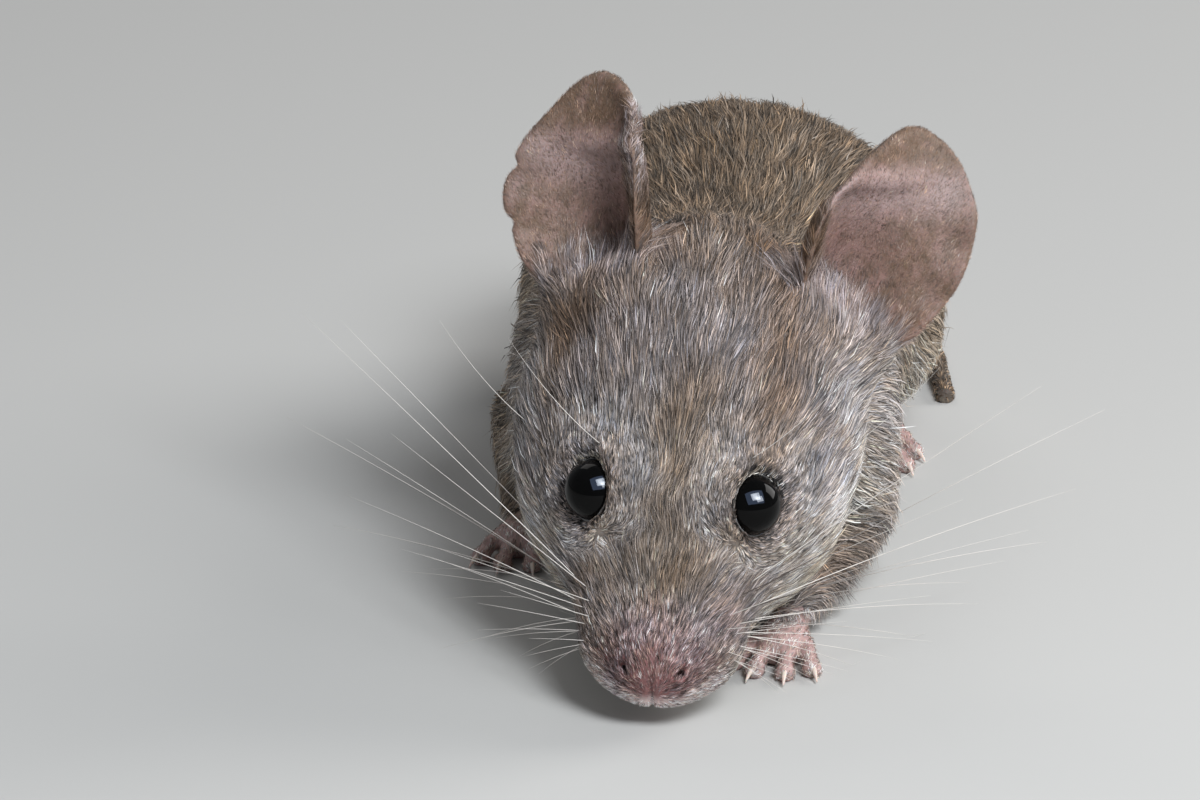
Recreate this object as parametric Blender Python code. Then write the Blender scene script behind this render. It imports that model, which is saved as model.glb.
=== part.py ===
"""A small adult house mouse (Mus musculus), life size, crouched with its nose near the floor.

The animal is described as soft masses that blend into one body, in millimetres, nose toward -Y and
its own left toward +X. Territories part that body into named sub-parts with thin cuts, and each
sub-part becomes one closed mesh. All sizes run out to the tips of the coat.
"""
from itertools import combinations, permutations, product
from math import cos, radians, sin

import bpy
import numpy as np

MM = 0.001
GAP = 0.3            # between neighbouring solids
FLOOR = 0.0          # level of every sole and of the tail's underside

# Driving dimensions
EYE_HEIGHT = 11.5    # of the point between the eyes above the floor
SIGHT = 20.0         # degrees above the horizon of the line that the head and ears face
HEAD_PITCH = 47.0    # degrees that the head's long axis points down
HEAD_LEAN = 5.3      # degrees that the head tips to its left
HEAD_TURN = 5.0      # degrees that the head turns to its right
EYE_RADIUS = 1.75
EYE_PLACE = (0.4, 4.3, 0.95)     # forward, to the side and up, from the point between the eyes
ORBIT = (0.26, 3.95, 0.62)       # middle of the swelling of lids round an eye, in the same directions
ORBIT_RADIUS = 2.3
EAR_THICKNESS = 0.7
TAIL_LENGTH = 62.0
TAIL_ROOT = (4.0, 54.0, 4.9)
TAIL_RADII = (1.65, 0.55)
TAIL_HEADINGS = (-66.0, 176.0)   # at the root and at the tip, degrees from +Y toward +X
TAIL_BEND = (-0.05, 0.84)        # shares of its length between which the tail turns
TAIL_STATIONS = 41
FOOT_SINK = 0.12     # how far the round soles reach below the floor before they are cut flat


def unit(vector):
    return np.asarray(vector, float) / np.linalg.norm(vector)


def rotation(axis, degrees):
    """The matrix that turns a vector about the axis."""
    x, y, z = unit(axis)
    c, s = cos(radians(degrees)), sin(radians(degrees))
    cross = np.array([[0, -z, y], [z, 0, -x], [-y, x, 0]])
    return c * np.eye(3) + s * cross + (1 - c) * np.outer((x, y, z), (x, y, z))


# The upright of the face, and the way it looks
FACE_UP = np.array([0, sin(radians(SIGHT)), cos(radians(SIGHT))])
FACE_OUT = np.array([0, -cos(radians(SIGHT)), sin(radians(SIGHT))])
SIDEWAYS = np.array([1.0, 0, 0])
BETWEEN_EYES = np.array([0, 0, EYE_HEIGHT])


def head_axes():
    """Rows: the head's forward, left and up."""
    pitch = radians(HEAD_PITCH)
    level = np.array([[0, -cos(pitch), -sin(pitch)], SIDEWAYS, [0, -sin(pitch), cos(pitch)]])
    return level @ (rotation(FACE_UP, -HEAD_TURN) @ rotation(FACE_OUT, -HEAD_LEAN)).T


HEAD = head_axes()


# Distance fields: negative inside, in millimetres

def ellipsoid(points, centre, radii, axes=None):
    offset = points - np.asarray(centre, float)
    if axes is not None:
        offset = offset @ axes.T
    near = np.linalg.norm(offset / radii, axis=-1)
    slope = np.linalg.norm(offset / np.square(radii), axis=-1)
    return near * (near - 1) / np.maximum(slope, 1e-6)


def round_cone(points, start, end, start_radius, end_radius):
    start, end = np.asarray(start, float), np.asarray(end, float)
    run = end - start
    along = np.clip((points - start) @ run / (run @ run), 0, 1)
    centre = start + along[..., None] * run
    return np.linalg.norm(points - centre, axis=-1) - (start_radius + along * (end_radius - start_radius))


def blend(first, second, width):
    """The union of two fields with a fillet about this wide."""
    near = np.maximum(width - np.abs(first - second), 0) / width
    return np.minimum(first, second) - near * near * width / 4


def soft_cut(first, second, width):
    """What both fields share, with its edge rounded."""
    return -blend(-first, -second, width)


def blend_all(fields, width):
    joined = fields[0]
    for field in fields[1:]:
        joined = blend(joined, field, width)
    return joined


# Head

def in_head(points):
    """Forward, left and up from the point between the eyes."""
    return (points - BETWEEN_EYES) @ HEAD.T


def eye_centre(side):
    forward, out, up = EYE_PLACE
    return BETWEEN_EYES + np.array([forward, side * out, up]) @ HEAD


def head_field(points):
    middle = in_head(points)
    paired = middle * (1, 0, 1) + np.abs(middle) * (0, 1, 0)
    cranium = ellipsoid(middle, (-8.5, 0, -4.2), (10.0, 8.7, 7.5))
    cheeks = ellipsoid(paired, (-3.6, 4.3, -5.0), (7.5, 4.5, 4.8))
    bridge = round_cone(middle, (0.5, 0, -3.0), (8.2, 0, -1.9), 5.8, 2.6)
    flanks = round_cone(paired, (-1.0, 3.6, -3.4), (7.4, 1.7, -2.5), 4.0, 2.3)
    whisker_pads = ellipsoid(paired, (7.1, 2.2, -2.6), (3.0, 2.1, 2.2))
    nose_end = ellipsoid(middle, (9.4, 0, -0.9), (1.7, 1.7, 1.5))
    lip = ellipsoid(middle, (9.8, 0, -2.1), (1.8, 2.0, 1.2))
    jaw = round_cone(middle, (6.8, 0, -4.4), (-3.0, 0, -7.4), 1.6, 4.2)
    lids = np.linalg.norm(paired - ORBIT, axis=-1) - ORBIT_RADIUS
    field = blend_all((cranium, cheeks, bridge, flanks), 2.4)
    return blend_all((field, whisker_pads, nose_end, lip, jaw, lids), 1.3)


# Ears

class Ear:
    """A pinna: a thin dished sheet facing `facing` degrees to its outer side.

    Its outline is an oval whose shoulder is cut straight across, `reach` from the middle.
    """

    def __init__(self, side, right, up, back, lean, facing, length, width, shoulder, reach):
        self.side, self.length, self.width = side, length, width
        self.shoulder, self.reach = unit(shoulder), reach
        self.base = BETWEEN_EYES + right * SIDEWAYS + up * FACE_UP - back * FACE_OUT
        rise = cos(radians(lean)) * FACE_UP + side * sin(radians(lean)) * SIDEWAYS - 0.07 * FACE_OUT
        look = cos(radians(facing)) * FACE_OUT + side * sin(radians(facing)) * SIDEWAYS
        self.rise = unit(rise)
        self.look = unit(look - self.rise * (look @ self.rise))
        across = np.cross(self.rise, self.look)
        self.across = across * np.sign(across[0]) * side
        self.axes = np.array([self.across, self.rise, self.look])


EARS = {
    "left": Ear(+1, 9.6, 8.5, 5.0, 21, 22, 13.2, 9.7, shoulder=(-0.77, 0.64), reach=0.8),
    "right": Ear(-1, -4.9, 11.1, 5.5, 2, 32, 13.0, 9.4, shoulder=(0.64, 0.77), reach=0.83),
}


def in_ear(points, ear):
    """Across, from the base to the tip, and out of the bowl."""
    return (points - ear.base) @ ear.axes.T


def ear_dish(across, along):
    """How far the sheet stands forward, with across from -1 to 1 and along from 0 to 1."""
    bowl = -3.4 * np.exp(-((across + 0.15) / 0.62) ** 2 - ((along - 0.24) / 0.34) ** 2)
    tip = -9.3 * np.clip(along - 0.62, 0, 1) ** 2
    front_edge = 5.0 * np.clip(-across - 0.45, 0, 1) ** 2 * np.clip(1.1 - along, 0, 1)
    return bowl + tip + front_edge + 0.9 * across**2


def ear_field(points, ear):
    place = in_ear(points, ear)
    across, along = place[..., 0] / (ear.width / 2), place[..., 1] / ear.length
    small = 0.01
    sheet = ear_dish(across, along)
    slope_across = (ear_dish(across + small, along) - sheet) / (small * ear.width / 2)
    slope_along = (ear_dish(across, along + small) - sheet) / (small * ear.length)
    steepness = np.sqrt(1 + slope_across**2 + slope_along**2)
    thickness = np.abs(place[..., 2] - sheet) / steepness - EAR_THICKNESS / 2
    height = (along - 0.47) / 0.53
    oval = np.hypot(across / (1 + 0.07 * np.clip(height, -1, 1)), height) - 1
    past_shoulder = across * ear.shoulder[0] + height * ear.shoulder[1] - ear.reach
    outline = soft_cut(oval, past_shoulder, 0.25)
    return soft_cut(thickness, outline * ear.width * 0.45, 0.25)


def ear_root_field(points):
    roots = [ellipsoid(in_ear(points, ear), (-0.4, -0.2, -1.2), (3.4, 3.0, 2.6)) for ear in EARS.values()]
    return np.minimum(*roots)


# Trunk and limbs

def haunch_field(points, side):
    return ellipsoid(points, (3.9 + side * 9.0, 40, 8.5), (4.7, 9.5, 6.4))


def trunk_field(points):
    nape = round_cone(points, (0.8, 8.0, 12.4), (1.9, 20, 11.4), 8.6, 9.9)
    chest = ellipsoid(points, (2.1, 20, 11.2), (11.2, 12.5, 9.8))
    belly = ellipsoid(points, (3.2, 31, 11.3), (12.5, 14, 10.0))
    loin = ellipsoid(points, (3.9, 40.5, 11.3), (12.9, 13.5, 10.5))
    rump = ellipsoid(points, (4.0, 47, 9.6), (9.3, 10.5, 8.4))
    return blend_all((nape, chest, belly, loin, rump), 3.5)


class Foreleg:
    def __init__(self, shoulder, shoulder_size, elbow, wrist):
        self.shoulder, self.shoulder_size, self.elbow, self.wrist = shoulder, shoulder_size, elbow, wrist

    def field(self, points):
        upper = ellipsoid(points, self.shoulder, self.shoulder_size)
        return blend(upper, round_cone(points, self.elbow, self.wrist, 3.2, 1.4), 2.5)


FORELEGS = {
    "left": Foreleg((9.0, 16.5, 9.2), (4.8, 7.0, 7.4), (9.0, 14.5, 5.8), (7.2, 8.6, 2.3)),
    "right": Foreleg((-5.9, 24.0, 9.2), (4.2, 6.5, 7.2), (-7.8, 29.0, 5.8), (-8.3, 24.2, 2.3)),
}


class Foot:
    """A sole from `back` (wrist or heel) along `heading` degrees from -Y toward +X, and its toes."""

    def __init__(self, side, back, heading, sole, toe_length, width, toe_count, height):
        self.back = np.asarray(back, float)
        self.ahead = np.array([sin(radians(heading)), -cos(radians(heading)), 0])
        self.out = side * np.array([cos(radians(heading)), sin(radians(heading)), 0])
        self.sole, self.toe_length, self.width = sole, toe_length, width
        self.toe_count, self.height = toe_count, height
        self.ball = self.back * (1, 1, 0) + self.ahead * sole + np.array([0, 0, height - FOOT_SINK])
        self.middle = self.back + self.ahead * (sole + toe_length) / 2


TOE_RADIUS = 0.55
FEET = {
    "forepaw_left": Foot(+1, (7.0, 8.0, 2.0), -14, 3.6, 3.2, 3.6, 4, 0.95),
    "forepaw_right": Foot(-1, (-8.3, 24.6, 2.0), -6, 3.4, 3.2, 3.6, 4, 0.95),
    "hindfoot_left": Foot(+1, (11.6, 49, 1.4), 4, 10.0, 5.0, 4.2, 5, 1.25),
    "hindfoot_right": Foot(-1, (-4.0, 49, 1.4), -4, 10.0, 5.0, 4.2, 5, 1.25),
}


def toe_field(points, foot, place):
    """One toe, with place from -1 on the inner edge of the foot to 1 on the outer edge."""
    start = foot.ball * (1, 1, 0) + foot.out * place * foot.width * 0.36
    way = unit(foot.ahead + foot.out * place * 0.45)
    short_edge = 0.25 if foot.toe_count == 5 and abs(place) == 1 else 0
    reach = foot.toe_length * (1 - 0.28 * abs(place) ** 1.5 - short_edge)
    knuckle_rise = np.array([0, 0, TOE_RADIUS + 0.35])
    tip_rise = np.array([0, 0, TOE_RADIUS - FOOT_SINK])
    knuckle = start + way * reach / 2 + knuckle_rise
    near = round_cone(points, start + knuckle_rise, knuckle, TOE_RADIUS, TOE_RADIUS)
    far = round_cone(points, knuckle, start + way * reach + tip_rise, TOE_RADIUS, TOE_RADIUS)
    return np.minimum(near, far)


def foot_field(points, foot):
    palm_axes = np.array([foot.out, foot.ahead, (0, 0, 1)])
    shaft = round_cone(points, foot.back, foot.ball, 1.2, foot.height)
    palm = ellipsoid(points, foot.ball, (foot.width / 2, 1.7, foot.height), palm_axes)
    field = blend(shaft, palm, 1.0)
    for place in np.linspace(-1, 1, foot.toe_count):
        field = blend(field, toe_field(points, foot, place), 0.5)
    return field


# Tail

def tail_line():
    """Centres and radii along the tail, which drops to the floor and curves round to the left haunch."""
    step = TAIL_LENGTH / (TAIL_STATIONS - 1)
    centres, radii = [np.array(TAIL_ROOT)], [TAIL_RADII[0]]
    for station in range(1, TAIL_STATIONS):
        along = station / (TAIL_STATIONS - 1)
        radius = TAIL_RADII[0] + (TAIL_RADII[1] - TAIL_RADII[0]) * along**0.9
        turned = np.interp(along, TAIL_BEND, (0, 1))
        heading = radians(np.interp(turned**2 * (3 - 2 * turned), (0, 1), TAIL_HEADINGS))
        fall = np.clip(centres[-1][2] - (radius - FOOT_SINK), -step, 0.55 * step)
        level = np.sqrt(step**2 - fall**2)
        centres.append(centres[-1] + (sin(heading) * level, cos(heading) * level, -fall))
        radii.append(radius)
    return np.array(centres), np.array(radii)


TAIL_CENTRES, TAIL_RADIUS_ALONG = tail_line()


def tail_field(points, first=0, last=TAIL_STATIONS - 1):
    """The tail between two stations, with round ends."""
    field = np.full(points.shape[:-1], np.inf)
    for here in range(first, last):
        ends = TAIL_CENTRES[here], TAIL_CENTRES[here + 1]
        radii = TAIL_RADIUS_ALONG[here], TAIL_RADIUS_ALONG[here + 1]
        field = np.minimum(field, round_cone(points, *ends, *radii))
    return field


def past_station(points, station):
    """Negative where a point lies beyond this station of the tail."""
    way = unit(TAIL_CENTRES[station + 1] - TAIL_CENTRES[station])
    return -(points - TAIL_CENTRES[station]) @ way


# The whole animal

def within(points, centre, reach):
    """Whether the box of these points comes within reach of a place."""
    flat = points.reshape(-1, 3)
    nearest = np.clip(centre, flat.min(axis=0), flat.max(axis=0))
    return np.linalg.norm(nearest - centre) < reach


def masses():
    """(field, middle, reach, fillet) of each mass that joins the trunk."""
    yield head_field, BETWEEN_EYES + np.array([-3, 0, -3]) @ HEAD, 20, 4.0
    yield ear_root_field, (2, 9, 18), 18, 2.0
    for ear in EARS.values():
        yield lambda points, ear=ear: ear_field(points, ear), ear.base + ear.rise * ear.length / 2, 11, 0.8
    for leg in FORELEGS.values():
        yield leg.field, leg.elbow, 16, 2.0
    for side in (1, -1):
        yield lambda points, side=side: haunch_field(points, side), (3.9 + side * 9.0, 40, 8.5), 14, 2.0
    for foot in FEET.values():
        yield lambda points, foot=foot: foot_field(points, foot), foot.middle, foot.sole + 7, 0.8
    yield tail_field, (4, 66, 3), 24, 1.0


def flesh_field(points):
    field = trunk_field(points)
    for mass, middle, reach, fillet in masses():
        if within(points, np.asarray(middle, float), reach):
            field = blend(field, mass(points), fillet)
    for side in (1, -1):
        socket = np.linalg.norm(points - eye_centre(side), axis=-1) - EYE_RADIUS - GAP
        field = np.maximum(field, -socket)
    return np.maximum(field, FLOOR - points[..., 2])


# Territories: negative in what belongs to the sub-part. Earlier ones take from later ones.

def nose_territory(points):
    place = in_head(points)
    return np.maximum(9.7 - place[..., 0], np.linalg.norm(place - (9.7, 0, -0.8), axis=-1) - 3.2)


def ear_territory(ear):
    def territory(points):
        place = in_ear(points, ear)
        return np.maximum(1.6 - place[..., 1], ellipsoid(place, (0, 6.2, 0), (6.4, 9.0, 4.4)))
    return territory


def foot_territory(foot, height):
    """A long oval round the foot, this high at its middle."""
    axes = np.array([foot.out, foot.ahead, (0, 0, 1)])
    radii = (foot.width / 2 + 1.6, (foot.sole + foot.toe_length) / 2 + 2.2, height)
    return lambda points: ellipsoid(points, foot.middle * (1, 1, 0), radii, axes)


def foreleg_territory(leg, side):
    outer = np.array(leg.shoulder) + (side * 5.0, -0.8, -1.6)
    return lambda points: np.minimum(
        ellipsoid(points, outer, (7.6, 7.8, 7.6)),
        round_cone(points, leg.elbow, leg.wrist, 3.9, 2.2),
    )


def thigh_territory(side):
    return lambda points: ellipsoid(points, (3.9 + side * 14.0, 40, 7.6), (8.6, 10.5, 8.6))


def tail_territory(first, last):
    def territory(points):
        lower = np.clip(first - 2, 0, None)
        upper = min(last + 2, TAIL_STATIONS - 1)
        inside = np.maximum(tail_field(points, lower, upper) - 0.9, past_station(points, first))
        return inside if last == TAIL_STATIONS - 1 else np.maximum(inside, -past_station(points, last))
    return territory


def before(y, slope=0.0):
    """All in front of a plane across the body, whose top leans back by slope."""
    return lambda points: (points[..., 1] - y - slope * (points[..., 2] - EYE_HEIGHT)) / np.hypot(1, slope)


def everywhere(points):
    return np.full(points.shape[:-1], -1e3)


FUR = (0.30, 0.26, 0.22)
SKIN = (0.62, 0.42, 0.40)
EAR_SKIN = (0.50, 0.38, 0.35)
TAIL_SKIN = (0.36, 0.29, 0.27)

# name, territory, grid step in mm, triangles, colour
PARTS = [
    ("nose", nose_territory, 0.25, 160, SKIN),
    ("ear_left", ear_territory(EARS["left"]), 0.22, 640, EAR_SKIN),
    ("ear_right", ear_territory(EARS["right"]), 0.22, 640, EAR_SKIN),
    ("forepaw_left", foot_territory(FEET["forepaw_left"], 2.6), 0.2, 460, SKIN),
    ("forepaw_right", foot_territory(FEET["forepaw_right"], 2.6), 0.2, 460, SKIN),
    ("hindfoot_left", foot_territory(FEET["hindfoot_left"], 2.4), 0.25, 560, SKIN),
    ("hindfoot_right", foot_territory(FEET["hindfoot_right"], 2.4), 0.25, 560, SKIN),
    ("tail_1", tail_territory(2, 10), 0.3, 200, TAIL_SKIN),
    ("tail_2", tail_territory(10, 20), 0.25, 200, TAIL_SKIN),
    ("tail_3", tail_territory(20, 30), 0.25, 200, TAIL_SKIN),
    ("tail_4", tail_territory(30, 40), 0.2, 200, TAIL_SKIN),
    ("foreleg_left", foreleg_territory(FORELEGS["left"], +1), 0.45, 360, FUR),
    ("foreleg_right", foreleg_territory(FORELEGS["right"], -1), 0.45, 360, FUR),
    ("thigh_left", thigh_territory(+1), 0.5, 360, FUR),
    ("thigh_right", thigh_territory(-1), 0.5, 360, FUR),
    ("head", before(10.5, 0.1), 0.4, 1500, FUR),
    ("neck", before(16.5, -0.1), 0.5, 440, FUR),
    ("chest", before(30.0), 0.5, 620, FUR),
    ("abdomen", everywhere, 0.5, 640, FUR),
]


# Meshes

def even(order):
    return sum(first > second for first, second in combinations(order, 2)) % 2 == 0


def mixed_cells(inside, grid, steps):
    """Of the grid's cells, those with corners on both sides of the surface."""
    cells = grid[:-1, :-1, :-1].ravel()
    mixed = np.zeros(cells.size, bool)
    for corner in product((0, 1), repeat=3):
        mixed |= inside[cells + int(np.dot(corner, steps))] != inside[cells]
    return cells[mixed]


def crossed_edges(tets, inside):
    """Triangles round each tetrahedron's inner corners, each corner of theirs an edge of the grid."""
    state = inside[tets]
    for a, b, c, d in filter(even, permutations(range(4))):
        if b < c and b < d:
            lone = state[:, a] & ~(state[:, b] | state[:, c] | state[:, d])
            yield tets[lone][:, [(a, b), (a, c), (a, d)]]
            hollow = ~state[:, a] & state[:, b] & state[:, c] & state[:, d]
            yield tets[hollow][:, [(a, b), (a, d), (a, c)]]
        if a < b:
            pair = state[:, a] & state[:, b] & ~(state[:, c] | state[:, d])
            yield tets[pair][:, [(a, c), (a, d), (b, d)]]
            yield tets[pair][:, [(a, c), (b, d), (b, c)]]


def isosurface(field, axes):
    """A closed mesh of the surface field = 0, from a grid whose cells are cut into six tetrahedra."""
    grid = np.arange(field.size).reshape(field.shape)
    steps = np.array([field.shape[1] * field.shape[2], field.shape[2], 1])
    values = field.ravel()
    cells = mixed_cells(values < 0, grid, steps)
    triangles = []
    for order in permutations(range(3)):
        path = np.concatenate([[0], np.cumsum(steps[list(order)])])
        corners = path if even(order) else path[[0, 2, 1, 3]]
        triangles.extend(crossed_edges(cells[:, None] + corners, values < 0))
    edges = np.sort(np.concatenate(triangles), axis=2)
    keys, index = np.unique(edges[..., 0] * field.size + edges[..., 1], return_inverse=True)
    start, end = keys // field.size, keys % field.size
    share = np.clip(values[start] / (values[start] - values[end]), 0.02, 0.98)[:, None]
    ends = [
        np.stack([axis[i] for axis, i in zip(axes, np.unravel_index(which, field.shape))], axis=1)
        for which in (start, end)
    ]
    return ends[0] * (1 - share) + ends[1] * share, index.reshape(-1, 3)


def soften(field):
    """Each value drawn halfway to the mean of its neighbours, which drops crumbs thinner than the grid."""
    mean = np.zeros_like(field)
    for axis in range(3):
        ends = np.take(field, [0], axis), np.take(field, [-1], axis)
        padded = np.concatenate([ends[0], field, ends[1]], axis=axis)
        size = padded.shape[axis]
        mean += np.take(padded, range(size - 2), axis) + np.take(padded, range(2, size), axis)
    return field / 2 + mean / 12


def grid_points(axes):
    return np.stack(np.meshgrid(*axes, indexing="ij"), axis=-1)


def coarse_survey(step=1.0):
    """The flesh and every territory on a coarse grid round the animal."""
    axes = [np.arange(low, high, step) for low, high in ((-16, 24), (-12, 84), (-2, 36))]
    points = grid_points(axes)
    return points, flesh_field(points), [territory(points) for _, territory, *_ in PARTS]


def own_field(flesh, territories, rank):
    """The flesh inside one territory and outside all earlier ones, half a gap from each cut."""
    field = np.maximum(flesh, territories[rank] + GAP / 2)
    for earlier in territories[:rank]:
        field = np.maximum(field, GAP / 2 - earlier)
    return field


def sub_part(rank, survey):
    """Vertices and faces of one sub-part, in millimetres."""
    coarse_points, flesh, territories = survey
    step = PARTS[rank][2]
    near = own_field(flesh, territories, rank) < 1.6
    low, high = coarse_points[near].min(axis=0) - 1.2, coarse_points[near].max(axis=0) + 1.2
    axes = [np.arange(start, end + step, step) for start, end in zip(low, high)]
    points = grid_points(axes)
    field = np.maximum(flesh_field(points), PARTS[rank][1](points) + GAP / 2)
    for earlier in range(rank):
        if territories[earlier][near].min() < 2:
            field = np.maximum(field, GAP / 2 - PARTS[earlier][1](points))
    return isosurface(soften(field), axes)


def material(name, colour, roughness=0.8):
    made = bpy.data.materials.new(name)
    made.use_nodes = True
    surface = made.node_tree.nodes["Principled BSDF"]
    surface.inputs["Base Color"].default_value = (*colour, 1)
    surface.inputs["Roughness"].default_value = roughness
    surface.inputs["Metallic"].default_value = 0
    return made


def place(name, vertices, faces, colour, origin):
    """An object whose own origin is the middle of its box, set where it belongs under the root."""
    middle = (vertices.min(axis=0) + vertices.max(axis=0)) / 2
    mesh = bpy.data.meshes.new(name)
    mesh.from_pydata(((vertices - middle) * MM).tolist(), [], faces.tolist())
    mesh.materials.append(material(name, colour))
    mesh.shade_smooth()
    made = bpy.data.objects.new(name, mesh)
    made.location = (middle - origin) * MM
    bpy.context.scene.collection.objects.link(made)
    return made


def thin_out(made, triangles):
    """Fewer triangles where the surface is flattest."""
    corners = sum(len(face.vertices) - 2 for face in made.data.polygons)
    decimate = made.modifiers.new("Decimate", "DECIMATE")
    decimate.ratio = min(1, triangles / corners)


def eyeball(name, side, origin):
    bpy.ops.mesh.primitive_uv_sphere_add(segments=18, ring_count=11, radius=EYE_RADIUS * MM)
    made = bpy.context.object
    made.name = made.data.name = name
    made.location = (eye_centre(side) - origin) * MM
    made.data.materials.append(material(name, (0.01, 0.01, 0.012), roughness=0.05))
    made.data.shade_smooth()
    return made


def largest_body(vertices, faces):
    """The biggest connected piece, without the crumbs that a cut can leave."""
    label = np.arange(len(vertices))
    while True:
        lowest = label[faces].min(axis=1)
        updated = label.copy()
        np.minimum.at(updated, faces.ravel(), np.repeat(lowest, faces.shape[1]))
        if (updated == label).all():
            break
        label = updated
    keep = label == np.bincount(label).argmax()
    renumber = np.cumsum(keep) - 1
    return vertices[keep], renumber[faces[keep[faces[:, 0]]]]


def build():
    for leftover in list(bpy.data.objects):
        bpy.data.objects.remove(leftover)
    survey = coarse_survey()
    meshes = [largest_body(*sub_part(rank, survey)) for rank in range(len(PARTS))]
    every = np.concatenate([vertices for vertices, _ in meshes])
    origin = (every.min(axis=0) + every.max(axis=0)) / 2 * (1, 1, 0)
    root = bpy.data.objects.new("mouse", None)
    bpy.context.scene.collection.objects.link(root)
    made = []
    for (name, _, _, triangles, colour), (vertices, faces) in zip(PARTS, meshes):
        made.append(place(name, vertices, faces, colour, origin))
        thin_out(made[-1], triangles)
    made.append(eyeball("eye_left", +1, origin))
    made.append(eyeball("eye_right", -1, origin))
    for part in made:
        part.parent = root


build()
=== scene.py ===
"""The looks of a small adult house mouse (Mus musculus), a life-size museum model on a pale floor.

One skin stands for every sub-part of flesh and lies inside them by the depth of the coat. Over it go
the coat of fine blades, the whiskers, the claws and the eyes. Shapes are worked out in millimetres,
nose toward -Y and the animal's own left toward +X, and are moved into the frame's metres at the end.
"""
from functools import partial
from math import cos, radians, sin, tau

import bpy
import numpy as np
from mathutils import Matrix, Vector
from mathutils.kdtree import KDTree


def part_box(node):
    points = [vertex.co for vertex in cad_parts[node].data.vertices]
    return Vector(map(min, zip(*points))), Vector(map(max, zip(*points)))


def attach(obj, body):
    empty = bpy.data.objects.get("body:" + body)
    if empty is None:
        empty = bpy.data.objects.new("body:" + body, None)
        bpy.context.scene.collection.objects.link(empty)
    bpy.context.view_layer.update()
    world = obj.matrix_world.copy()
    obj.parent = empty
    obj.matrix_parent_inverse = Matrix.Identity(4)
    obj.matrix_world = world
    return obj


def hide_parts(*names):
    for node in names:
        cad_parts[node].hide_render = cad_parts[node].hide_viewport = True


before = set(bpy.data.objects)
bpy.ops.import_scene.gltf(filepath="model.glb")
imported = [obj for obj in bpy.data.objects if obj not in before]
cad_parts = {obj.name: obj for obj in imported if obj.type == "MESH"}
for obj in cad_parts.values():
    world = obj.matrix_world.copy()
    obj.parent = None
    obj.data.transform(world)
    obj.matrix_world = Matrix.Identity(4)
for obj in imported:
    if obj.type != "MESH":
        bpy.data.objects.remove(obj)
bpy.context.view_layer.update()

MM = 0.001
FLOOR = 0.0
SEED = 7

# Pose of the head
EYE_HEIGHT = 11.5    # of the point between the eyes above the floor
SIGHT = 20.0         # degrees above the horizon of the line that the head and ears face
HEAD_PITCH = 47.0    # degrees that the head's long axis points down
HEAD_LEAN = 5.3      # degrees that the head tips to its left
HEAD_TURN = 5.0      # degrees that the head turns to its right

# Eyes
EYE_RADIUS = 1.75
EYE_PLACE = (0.4, 4.3, 0.95)     # forward, to the side and up, from the point between the eyes
ORBIT = (0.26, 3.95, 0.62)       # middle of the swelling of lids round an eye, in the same directions
ORBIT_RADIUS = 2.3
EYE_AXIS = (0.28, 0.71, 0.65)    # the way an eye looks, in the same directions
LID_OPENING = 75.0               # degrees from the eye's axis to the edge of its lids
LID_CORNER = 7.0                 # degrees more at the two corners
LID_THICKNESS = 0.06
LID_WIDTH = 4.0      # degrees that the lids reach over the eye, in from their edge
EYE_CLEARANCE = 0.02

# Ears
EAR_THICKNESS = 0.46
EAR_RIM = 0.16       # how much thicker the rolled edge is

# Tail
TAIL_LENGTH = 62.0
TAIL_ROOT = (4.0, 54.0, 4.9)
TAIL_RADII = (1.65, 0.55)
TAIL_HEADINGS = (-66.0, 176.0)   # at the root and at the tip, degrees from +Y toward +X
TAIL_BEND = (-0.05, 0.84)        # shares of its length between which the tail turns
TAIL_STATIONS = 41
TAIL_RING = 0.42     # from one ring of scales to the next

# Feet
FOOT_SINK = 0.12     # how far the round soles reach below the floor before they are cut flat
TOE_RADIUS = 0.55
CLAW_LENGTH = 1.1
CLAW_RADIUS = 0.2


# Vectors

def norm(vectors):
    return np.linalg.norm(vectors, axis=-1)


def unit(vectors):
    vectors = np.asarray(vectors, float)
    return vectors / np.maximum(norm(vectors)[..., None], 1e-9)


def rotation(axis, degrees):
    """The matrix that turns a vector about the axis."""
    x, y, z = unit(axis)
    c, s = cos(radians(degrees)), sin(radians(degrees))
    cross = np.array([[0, -z, y], [z, 0, -x], [-y, x, 0]])
    return c * np.eye(3) + s * cross + (1 - c) * np.outer((x, y, z), (x, y, z))


def ramp(values, start, end):
    """From 0 at start to 1 at end, smooth at both."""
    share = np.clip((values - start) / (end - start), 0, 1)
    return share * share * (3 - 2 * share)


def bell(values, middle, width):
    return np.exp(-((values - middle) / width) ** 2)


def toward(value, target, share):
    """The value, moved toward the target by this share."""
    return value * (1 - share) + target * share


def dot(first, second):
    return (first * second).sum(axis=-1)


# The upright of the face, and the way it looks
FACE_UP = np.array([0, sin(radians(SIGHT)), cos(radians(SIGHT))])
FACE_OUT = np.array([0, -cos(radians(SIGHT)), sin(radians(SIGHT))])
SIDEWAYS = np.array([1.0, 0, 0])
BETWEEN_EYES = np.array([0, 0, EYE_HEIGHT])


def head_axes():
    """Rows: the head's forward, left and up."""
    pitch = radians(HEAD_PITCH)
    level = np.array([[0, -cos(pitch), -sin(pitch)], SIDEWAYS, [0, -sin(pitch), cos(pitch)]])
    return level @ (rotation(FACE_UP, -HEAD_TURN) @ rotation(FACE_OUT, -HEAD_LEAN)).T


HEAD = head_axes()


# Distance fields: negative inside, in millimetres

def ellipsoid(points, centre, radii, axes=None):
    offset = points - np.asarray(centre, float)
    if axes is not None:
        offset = offset @ axes.T
    near = norm(offset / radii)
    return near * (near - 1) / np.maximum(norm(offset / np.square(radii)), 1e-6)


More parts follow.
